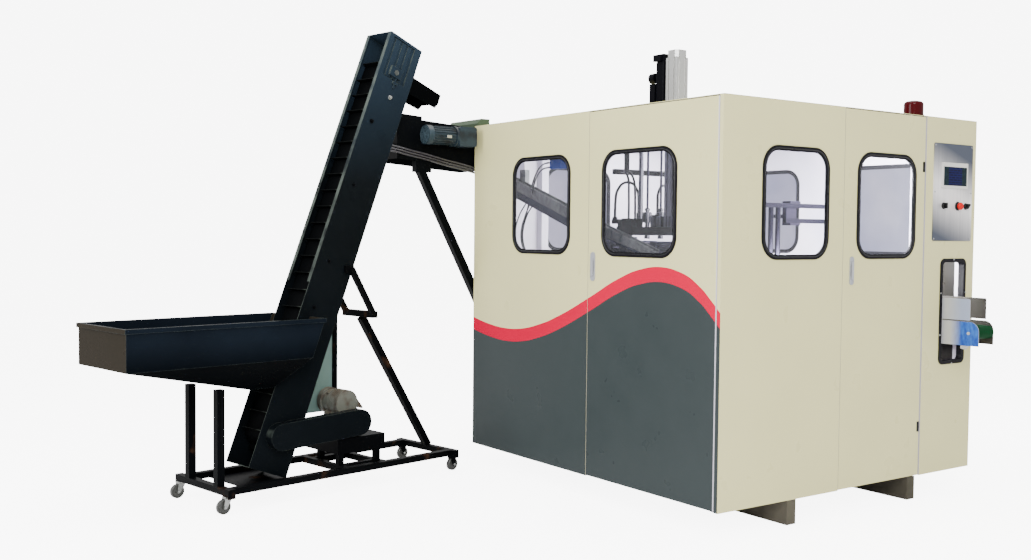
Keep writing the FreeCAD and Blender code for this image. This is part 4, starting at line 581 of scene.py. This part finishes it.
def bridge_paint(name):
    """Black feeder whose rear hood is olive grey."""
    g = paint(name, BRIDGE_BLACK, 0.34, 0.06, mottle=0.6, soft=0.002)
    g.set(Base_Color=g.mix(g.within(*HOOD, 0.001), g.colour(), HOOD_OLIVE))
    return g


# ------------------------------------------------------------- which node wears what
MATERIALS = {}

# Dark paints that don't shine on faces that look down.
MATT_BELOW = ("hopper_navy", "frame_black", "chute_black", "bridge_black", "lift_navy", "belt_dark")
DULL_TINT = (0.15, 0.16, 0.18, 1.0)


def build_materials():
    """Make every material and file it under its name."""
    made = [
        wave_paint("wave_panels"), cream_paint("cream"),
        paint("inner_grey", LINING, 0.5, 0.3),
        paint("skid_dark", srgb(92, 88, 77), 0.6, 0.05, mottle=0.6),
        paint("black_rubber", srgb(16, 15, 19), 0.45, 0.1, grain=400.0, bump=0.1, mottle=0.8,
              soft=0.003),
        paint("black_plastic", srgb(12, 12, 13), 0.4, 0.25, soft=0.001),
        clear("clear_pane"), operator_steel("operator_plate"),
        paint("screen_bezel", srgb(212, 210, 204), 0.4, 0.3, soft=0.001), display_glass("display"),
        paint("red_button", srgb(206, 6, 4), 0.25, 0.2, grain=200.0, soft=0.001),
        paint("red_dome", srgb(70, 3, 9), 0.12, 0.12, grain=60.0, mottle=0.45),
        metal("steel", srgb(190, 192, 196), 0.28, soft=0.001), film_steel("film_steel"),
        paint("green_belt", srgb(2, 54, 26), 0.5, 0.04, grain=500.0, bump=0.2),
        metal("mould_alloy", srgb(74, 71, 90), 0.34, (1, 1, 8), soft=0.002),
        round_metal("chrome"),
        paint("valve_black", srgb(6, 6, 11), 0.42, 0.05, soft=0.001),
        cable_cover("cable_black"),
        paint("cord_rubber", srgb(26, 26, 30), 0.28, 0.3, grain=300.0, soft=0.0005),
        paint("motor_blue_edge", srgb(58, 74, 82), 0.4, 0.3, grain=300.0, soft=0.0005),
        lift_paint("lift_navy"), hopper_paint("hopper_navy"), frame_paint("frame_black"),
        paint("chute_black", srgb(4, 5, 6), 0.34, 0.03, mottle=0.6, soft=0.002),
        bridge_paint("bridge_black"),
        motor_shell("motor_blue", srgb(40, 54, 62), srgb(16, 22, 28), 0.12),
        motor_shell("motor_worn", srgb(106, 108, 100), srgb(66, 46, 32), 0.35),
        belt_rubber("belt_dark"),
        paint("control_pale", srgb(118, 144, 138), 0.4, 0.12, mottle=0.8, soft=0.003),
        paint("wheel_grey", srgb(72, 73, 70), 0.3, 0.4, mottle=0.6, soft=0.001),
        column_metal("column_alloy"),
        rail_steel("rail_steel"), metal("press_iron", srgb(44, 42, 56), 0.4, (1, 1, 6), soft=0.002),
        metal("grip_alloy", srgb(62, 59, 76), 0.36, (1, 1, 6), soft=0.001),
        metal("dull_steel", srgb(92, 96, 96), 0.45, soft=0.001),
        metal("zinc", srgb(170, 172, 170), 0.34, (1, 1, 1), 60.0, 0.05, soft=0.0008),
        grip_steel("handle_steel"),
    ]
    for g in made:
        if g.name in MATT_BELOW:
            gloss = g.shader.inputs["Specular IOR Level"].default_value
            g.set(Specular_Tint=DULL_TINT,
                  Specular_IOR_Level=g.spread(g.axis(2, "Normal"), -0.9, -0.5, 0.0, gloss))
    MATERIALS.update({g.name: g.material for g in made})


NODE_MATERIAL = {
    "skid_beams": "skid_dark", "cabinet_frame": "inner_grey", "left_panels": "wave_panels",
    "front_panels": "cream", "rear_and_roof_panels": "cream", "window_gaskets": "black_rubber",
    "window_panes": "clear_pane", "hinge_leaves": "black_plastic", "left_door": "wave_panels",
    "left_door_gasket": "black_rubber", "left_door_pane": "clear_pane",
    "left_door_handle": "handle_steel", "front_door": "cream",
    "front_door_gasket": "black_rubber", "front_door_pane": "clear_pane",
    "front_door_handle": "handle_steel", "hmi_plate": "operator_plate",
    "touch_screen": "screen_bezel", "control_collars": "black_plastic",
    "estop_button": "red_button", "selector_left": "black_plastic",
    "selector_right": "black_plastic", "warning_beacon": "red_dome",
    "outfeed_trim": "black_rubber", "outfeed_plates": "film_steel", "outfeed_belt": "green_belt",
    "outfeed_roller": "steel", "press_frame": "press_iron", "chrome_rods": "chrome",
    "front_mould": "mould_alloy", "rear_mould": "mould_alloy", "base_mould": "mould_alloy",
    "stretch_column": "column_alloy", "stretch_actuator": "valve_black",
    "stretch_carriage": "grip_alloy", "blow_nozzles": "chrome", "valve_stack": "valve_black",
    "hoses_and_cables": "cable_black", "transfer_gripper": "grip_alloy", "oven_housing": "grip_alloy",
    "infeed_rails": "rail_steel", "feeder_frame": "bridge_black", "feeder_motor": "motor_blue",
    "feeder_roller_near": "steel", "feeder_roller_far": "steel", "lift_frame": "frame_black",
    "lift_hopper": "hopper_navy", "lift_trough": "lift_navy", "lift_belt": "belt_dark",
    "lift_head_roller": "dull_steel", "lift_tail_roller": "dull_steel", "lift_motor": "motor_worn",
    "lift_chute": "chute_black", "lift_control_box": "control_pale", "caster_fork_1": "zinc",
    "caster_fork_2": "zinc", "caster_wheel_1": "wheel_grey", "caster_wheel_2": "wheel_grey",
    "caster_wheel_3": "wheel_grey", "caster_wheel_4": "wheel_grey",
}


def dress_nodes():
    """Give every carried node its finish."""
    for name, material in NODE_MATERIAL.items():
        mesh = NODES[name].data
        mesh.materials.clear()
        mesh.materials.append(MATERIALS[material])


# ------------------------------------------------------------- detail pieces
def mm(x, y, z):
    """Point given in millimetres in the cabinet's coordinates."""
    return corner(x / 1000, y / 1000, z / 1000)


def lift_mm(u, v, z):
    """Point given in millimetres in the elevator's coordinates."""
    return lift(u / 1000, v / 1000, z / 1000)


SHARP = math.radians(35)             # edges sharper than this aren't smoothed


class Piece:
    """A detail mesh made of turned, outlined and beaded shapes, all in the row frame."""

    def __init__(self):
        self.mesh = bmesh.new()

    def skin(self, rings, closed=False):
        """Faces between rings of points, joined end to end if closed, else capped."""
        rows = [[self.mesh.verts.new(point) for point in ring] for ring in rings]
        pairs = list(zip(rows, rows[1:])) + ([(rows[-1], rows[0])] if closed else [])
        for low, high in pairs:
            for i in range(len(low)):
                j = (i + 1) % len(low)
                self.mesh.faces.new((low[i], low[j], high[j], high[i]))
        if not closed:
            self.mesh.faces.new(rows[0][::-1])
            self.mesh.faces.new(rows[-1])

    def turned(self, profile, at, way, steps=24):
        """Revolve (radius, height) points about the line that leaves at along way."""
        turn = Vector((0, 0, 1)).rotation_difference(Vector(way).normalized()).to_matrix()
        angles = [2 * math.pi * step / steps for step in range(steps)]
        self.skin([[Vector(at) + turn @ Vector((r * math.cos(a), r * math.sin(a), h))
                    for a in angles] for r, h in profile])

    def bolt(self, at, way, across):
        """Washer and hexagon head."""
        self.turned([(across * 0.78, 0), (across * 0.78, across * 0.1), (across * 0.74, across * 0.14)],
                    at, way)
        top = Vector(at) + Vector(way).normalized() * across * 0.14
        half = across / math.sqrt(3)
        self.turned([(half, 0), (half, across * 0.5), (half * 0.84, across * 0.6)], top, way, 6)

    def socket_screw(self, at, way, radius):
        """Button head with the dark hollow of its socket."""
        self.turned([(radius, 0), (radius, radius * 0.35), (radius * 0.82, radius * 0.7),
                     (radius * 0.5, radius * 0.86), (radius * 0.44, radius * 0.4)], at, way)

    def bead(self, path, radius, closed=False, steps=8):
        """Round cord laid along points of a smooth path."""
        rings = []
        count = len(path)
        for i, point in enumerate(path):
            before = path[i - 1] if closed or i else point
            after = path[(i + 1) % count] if closed or i < count - 1 else point
            turn = Vector((0, 0, 1)).rotation_difference((after - before).normalized()).to_matrix()
            rings.append([point + turn @ Vector((radius * math.cos(2 * math.pi * s / steps),
                                                 radius * math.sin(2 * math.pi * s / steps), 0))
                          for s in range(steps)])
        self.skin(rings, closed)

    def plate(self, outline, thick):
        """Sheet on an outline of points, thickened along a direction."""
        self.skin([outline, [point + Vector(thick) for point in outline]])

    def done(self, name, body, material, slot, soften=0.0):
        """Make the object, with its material and its body; the slot argument is not used."""
        bmesh.ops.recalc_face_normals(self.mesh, faces=self.mesh.faces)
        data = bpy.data.meshes.new(name)
        self.mesh.to_mesh(data)
        self.mesh.free()
        data.materials.append(MATERIALS[material])
        data.polygons.foreach_set("use_smooth", [True] * len(data.polygons))
        data.set_sharp_from_angle(angle=SHARP)
        piece = bpy.data.objects.new(name, data)
        bpy.context.scene.collection.objects.link(piece)
        if soften:
            bevel = piece.modifiers.new("soft edges", "BEVEL")
            bevel.width = soften
            bevel.segments = 2
            bevel.harden_normals = True
        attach(piece, body)


def rounded_loop(low, high, radius, turn_steps=6):
    """Points (a, b) round a rectangle with round corners."""
    points = []
    for quarter, (a, b) in enumerate(((high[0] - radius, high[1] - radius),
                                      (low[0] + radius, high[1] - radius),
                                      (low[0] + radius, low[1] + radius),
                                      (high[0] - radius, low[1] + radius))):
        for step in range(turn_steps + 1):
            angle = math.radians(90 * quarter + 90 * step / turn_steps)
            points.append((a + radius * math.cos(angle), b + radius * math.sin(angle)))
    return points


# Places on the detail pieces are in millimetres, as mm() and lift_mm() take them; radii,
# thicknesses and offsets are in metres.
# Windows: face, span along the face and the body that carries them.
WINDOW_LOW, WINDOW_HIGH, WINDOW_ROUND = 1272, 1808, 105
WINDOWS = (("left", 1107, 1637, "machine"), ("left", 295, 846, "left_door"),
           ("front", 255, 727, "machine"), ("front", 940, 1417, "front_door"),
           ("right", 295, 846, "machine"), ("right", 1225, 1755, "machine"),
           ("back", 524, 1054, "machine"))
GASKET_FRONT = 3.2        # how far the filler cord's middle stands before the sheet
GASKET_MIDDLE = 14        # from the gasket's outer edge to the filler cord
FILLER_RADIUS = 0.0034


def on_face(face, along, height, out):
    """Point on one face of the cabinet, a little outside it."""
    return {"left": mm(-out, along, height), "front": mm(along, -out, height),
            "right": mm(1000 * WIDTH + out, along, height),
            "back": mm(along, 1000 * DEPTH + out, height)}[face]


def build_filler_cords():
    """The locking cord pressed into each window gasket."""
    inset = GASKET_MIDDLE
    for index, (face, start, end, body) in enumerate(WINDOWS):
        loop = rounded_loop((start + inset, WINDOW_LOW + inset), (end - inset, WINDOW_HIGH - inset),
                            WINDOW_ROUND - inset, 10)
        piece = Piece()
        piece.bead([on_face(face, a, b, GASKET_FRONT) for a, b in loop], FILLER_RADIUS, closed=True)
        piece.done(f"gasket_cord_{index + 1}", body, "cord_rubber", "black_rubber")


TOWARD_FRONT = (0, -1, 0)
DISPLAY_LOW, DISPLAY_HIGH = (1647, 1662), (1855, 1761)
BEZEL_FRONT = -8.0
GLASS_THICK = 0.0012
SOFT_EDGE = 0.0004
PLATE_SCREWS = tuple((x, z) for x in (1577, 1905) for z in (1377, 1625, 1873))
PLATE_FRONT, PLATE_SCREW_RADIUS = -3, 0.0042
TRIM_SCREWS = ((1762, 1266), (1762, 704), (1651, 1085), (1874, 1085), (1651, 860), (1874, 860))
TRIM_FRONT, TRIM_SCREW_RADIUS = -5, 0.0045


def build_operator_side():
    """Display, screws of the operator plate and of the outfeed opening's trim."""
    display = Piece()
    loop = rounded_loop(DISPLAY_LOW, DISPLAY_HIGH, 2)
    display.plate([mm(a, BEZEL_FRONT, b) for a, b in loop], (0, -GLASS_THICK, 0))
    display.done("display", "machine", "display", "screen", SOFT_EDGE)
    screws = Piece()
    for x, z in PLATE_SCREWS:
        screws.socket_screw(mm(x, PLATE_FRONT, z), TOWARD_FRONT, PLATE_SCREW_RADIUS)
    for x, z in TRIM_SCREWS:
        screws.socket_screw(mm(x, TRIM_FRONT, z), TOWARD_FRONT, TRIM_SCREW_RADIUS)
    screws.done("operator_screws", "machine", "steel", "steel")


FAN_MIDDLE = mm(-371, 1995, 1946)
FAN_RINGS = (0.012, 0.021, 0.030, 0.039, 0.048)
FAN_RING_WIRE, FAN_RING_OUT = 0.0016, Vector((-0.002, 0, 0))
FAN_SPOKES, FAN_SPOKE_TURN, FAN_SPOKE = 8, 0.2, (0.010, 0.030, 0.051)
FAN_SPOKE_WIRE, FAN_SPOKE_OUT = 0.0017, Vector((-0.0025, 0, 0))
FAN_HUB = ((0.013, 0), (0.013, 0.003), (0.010, 0.0045))
BLANK_LOW, BLANK_HIGH, BLANK_FRONT, BLANK_THICK = (-254, 1930), (-222, 1946), 1941, 0.0015


def build_drive_details():
    """Fan grille and blank plate of the feeder's motor."""
    grille = Piece()
    for radius in FAN_RINGS:
        ring = [FAN_MIDDLE + FAN_RING_OUT + Vector((0, radius * math.cos(a), radius * math.sin(a)))
                for a in (2 * math.pi * s / 40 for s in range(40))]
        grille.bead(ring, FAN_RING_WIRE, closed=True, steps=6)
    for step in range(FAN_SPOKES):
        angle = 2 * math.pi * step / FAN_SPOKES + FAN_SPOKE_TURN
        way = Vector((0, math.cos(angle), math.sin(angle)))
        grille.bead([FAN_MIDDLE + FAN_SPOKE_OUT + way * r for r in FAN_SPOKE], FAN_SPOKE_WIRE, steps=6)
    grille.turned(FAN_HUB, FAN_MIDDLE, (-1, 0, 0))
    grille.done("feeder_motor_grille", "machine", "motor_blue_edge", "motor_blue")
    cover = Piece()
    loop = rounded_loop(BLANK_LOW, BLANK_HIGH, 3)
    cover.plate([mm(a, BLANK_FRONT, b) for a, b in loop], (0, -BLANK_THICK, 0))
    cover.done("feeder_motor_plate", "machine", "steel", "steel", SOFT_EDGE)


TROUGH_SIDE = -110                   # near face of the elevator's trough
BIG_BOLT, SMALL_BOLT = 0.016, 0.013
BRIGHT_BOLT, DARK_BOLT = (1111, 2136), (982, 1995)
SMALL_BOLTS = ((862, 1640), (700, 1226), (604, 982))


def build_lift_bolts():
    """Bolts in the near side of the elevator's trough."""
    toward = -LIFT_ACROSS
    bright, dark = Piece(), Piece()
    bright.bolt(lift_mm(BRIGHT_BOLT[0], TROUGH_SIDE, BRIGHT_BOLT[1]), toward, BIG_BOLT)
    dark.bolt(lift_mm(DARK_BOLT[0], TROUGH_SIDE, DARK_BOLT[1]), toward, BIG_BOLT)
    for u, z in SMALL_BOLTS:
        dark.bolt(lift_mm(u, TROUGH_SIDE, z), toward, SMALL_BOLT)
    bright.done("lift_bolts_bright", "machine", "zinc", "steel")
    dark.done("lift_bolts_dark", "machine", "frame_black", "navy_paint")


CASTER_BODIES = ("caster_swivel_1", "caster_swivel_2", "machine", "machine")
AXLE_NUT = ((0.0072, 0), (0.0072, 0.004), (0.0058, 0.0055))
FORK_SIDE = 0.0203                   # from the wheel's middle to the fork's outside


def build_caster_nuts():
    """Lock nuts on the caster axles."""
    for number, body in enumerate(CASTER_BODIES, 1):
        low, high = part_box(f"caster_wheel_{number}")
        middle = (low + high) / 2
        nuts = Piece()
        for side in (1, -1):
            way = LIFT_ACROSS * side
            nuts.turned(AXLE_NUT, middle + way.normalized() * FORK_SIDE, way, 6)
        nuts.done(f"caster_nuts_{number}", body, "zinc", "steel")


# -------------------------------------------------------------------- studio
CAMERA_AT = (-3.635, -3.543, 1.389)
CAMERA_YAW, CAMERA_PITCH, CAMERA_ROLL = -35.2257, -2.4523, 0.5392
CAMERA_LENS, SENSOR = 38.785, 36.0   # millimetres

AMBIENT = 1.15                       # light from all round
BACKDROP, FLOOR_GLOW = 8.0, 7.0      # what the camera alone sees behind and below
HALL = (0.66, 0.62, 0.82, 1.0)       # what the camera sees past the cabinet's windows
WHITE = (1.0, 1.0, 1.0, 1.0)
FLOOR_HALF = 14.0
AIM = (0.4, 0.8, 1.0)                # middle of the cabinet, which the studio lamps face

# Name, place, target, side in metres, power in watts.
LAMPS = (("key", (-3.5, -4.5, 4.6), AIM, 3.0, 420),
         ("side", (-5.5, 1.0, 3.2), AIM, 2.5, 200),
         ("top", (0.5, 1.0, 5.5), AIM, 4.0, 200),
         ("cabin_lamp", (1.2, 0.5, 1.97), (1.2, 0.5, 0.5), 0.6, 48),
         ("cabin_lamp_rear", (1.2, 1.6, 1.97), (1.2, 1.6, 0.5), 0.6, 26),
         ("cabin_lamp_right", (1.3, 0.45, 1.75), (1.94, 0.40, 1.3), 0.3, 60),
         ("cabin_lamp_back", (0.5, 1.4, 1.75), (0.6, 2.03, 1.3), 0.3, 12),
         ("cabin_low_right", (0.95, 0.35, 1.1), (1.94, 1.2, 1.75), 0.4, 80))


def build_camera():
    """The photo's camera, worked out from the cabinet's straight edges."""
    yaw, pitch, roll = (math.radians(a) for a in (CAMERA_YAW, CAMERA_PITCH, CAMERA_ROLL))
    ahead = Vector((-math.sin(yaw) * math.cos(pitch), math.cos(yaw) * math.cos(pitch),
                    math.sin(pitch)))
    right = ahead.cross(Vector((0, 0, 1))).normalized()
    up = right.cross(ahead)
    right, up = (math.cos(roll) * right + math.sin(roll) * up,
                 -math.sin(roll) * right + math.cos(roll) * up)
    data = bpy.data.cameras.new("photo_camera")
    data.lens = CAMERA_LENS
    data.sensor_width = SENSOR
    camera = bpy.data.objects.new("photo_camera", data)
    bpy.context.scene.collection.objects.link(camera)
    turn = Matrix((right, up, -ahead)).transposed().to_4x4()
    camera.matrix_world = Matrix.Translation(corner(*CAMERA_AT)) @ turn
    bpy.context.scene.camera = camera


def area_light(name, place, target, size, power):
    """Square lamp at one point of the cabinet's coordinates, aimed at another."""
    place, target = corner(*place), corner(*target)
    data = bpy.data.lights.new(name, "AREA")
    data.energy = power
    data.size = size
    light = bpy.data.objects.new(name, data)
    light.location = place
    light.rotation_euler = (target - place).to_track_quat("-Z", "Y").to_euler()
    bpy.context.scene.collection.objects.link(light)


def build_world():
    """Even surroundings, white behind the machine and dimmer past its windows."""
    world = bpy.data.worlds.new("studio")
    world.use_nodes = True
    tree = world.node_tree
    background = tree.nodes["Background"]
    background.inputs["Color"].default_value = WHITE
    background.inputs["Strength"].default_value = AMBIENT
    seen = tree.nodes.new("ShaderNodeBackground")
    seen.inputs["Color"].default_value = WHITE
    seen.inputs["Strength"].default_value = BACKDROP
    hall = tree.nodes.new("ShaderNodeBackground")
    hall.inputs["Color"].default_value = HALL
    ray = tree.nodes.new("ShaderNodeLightPath")
    through = tree.nodes.new("ShaderNodeMath")
    through.operation = "GREATER_THAN"
    through.inputs[1].default_value = 0.5
    tree.links.new(ray.outputs["Transparent Depth"], through.inputs[0])
    beyond = tree.nodes.new("ShaderNodeMixShader")
    tree.links.new(through.outputs[0], beyond.inputs[0])
    tree.links.new(seen.outputs[0], beyond.inputs[1])
    tree.links.new(hall.outputs[0], beyond.inputs[2])
    choose = tree.nodes.new("ShaderNodeMixShader")
    tree.links.new(ray.outputs["Is Camera Ray"], choose.inputs[0])
    tree.links.new(background.outputs[0], choose.inputs[1])
    tree.links.new(beyond.outputs[0], choose.inputs[2])
    tree.links.new(choose.outputs[0], tree.nodes["World Output"].inputs["Surface"])
    bpy.context.scene.world = world


def build_floor():
    """Pale floor that glows for the camera alone."""
    g = paint("floor_pale", (0.9, 0.9, 0.9, 1.0), 0.7, 0.2, mottle=0.985)
    ray = g.node("ShaderNodeLightPath").outputs["Is Camera Ray"]
    g.set(Emission_Color=WHITE, Emission_Strength=g.math("MULTIPLY", ray, FLOOR_GLOW))
    half = FLOOR_HALF
    mesh = bpy.data.meshes.new("floor")
    mesh.from_pydata([(-half, -half, 0), (half, -half, 0), (half, half, 0), (-half, half, 0)], [],
                     [(0, 1, 2, 3)])
    mesh.materials.append(g.material)
    floor = bpy.data.objects.new("floor", mesh)
    bpy.context.scene.collection.objects.link(floor)


build_materials()
dress_nodes()
build_filler_cords()
build_operator_side()
build_drive_details()
build_lift_bolts()
build_caster_nuts()
build_world()
build_floor()
for lamp in LAMPS:
    area_light(*lamp)
build_camera()
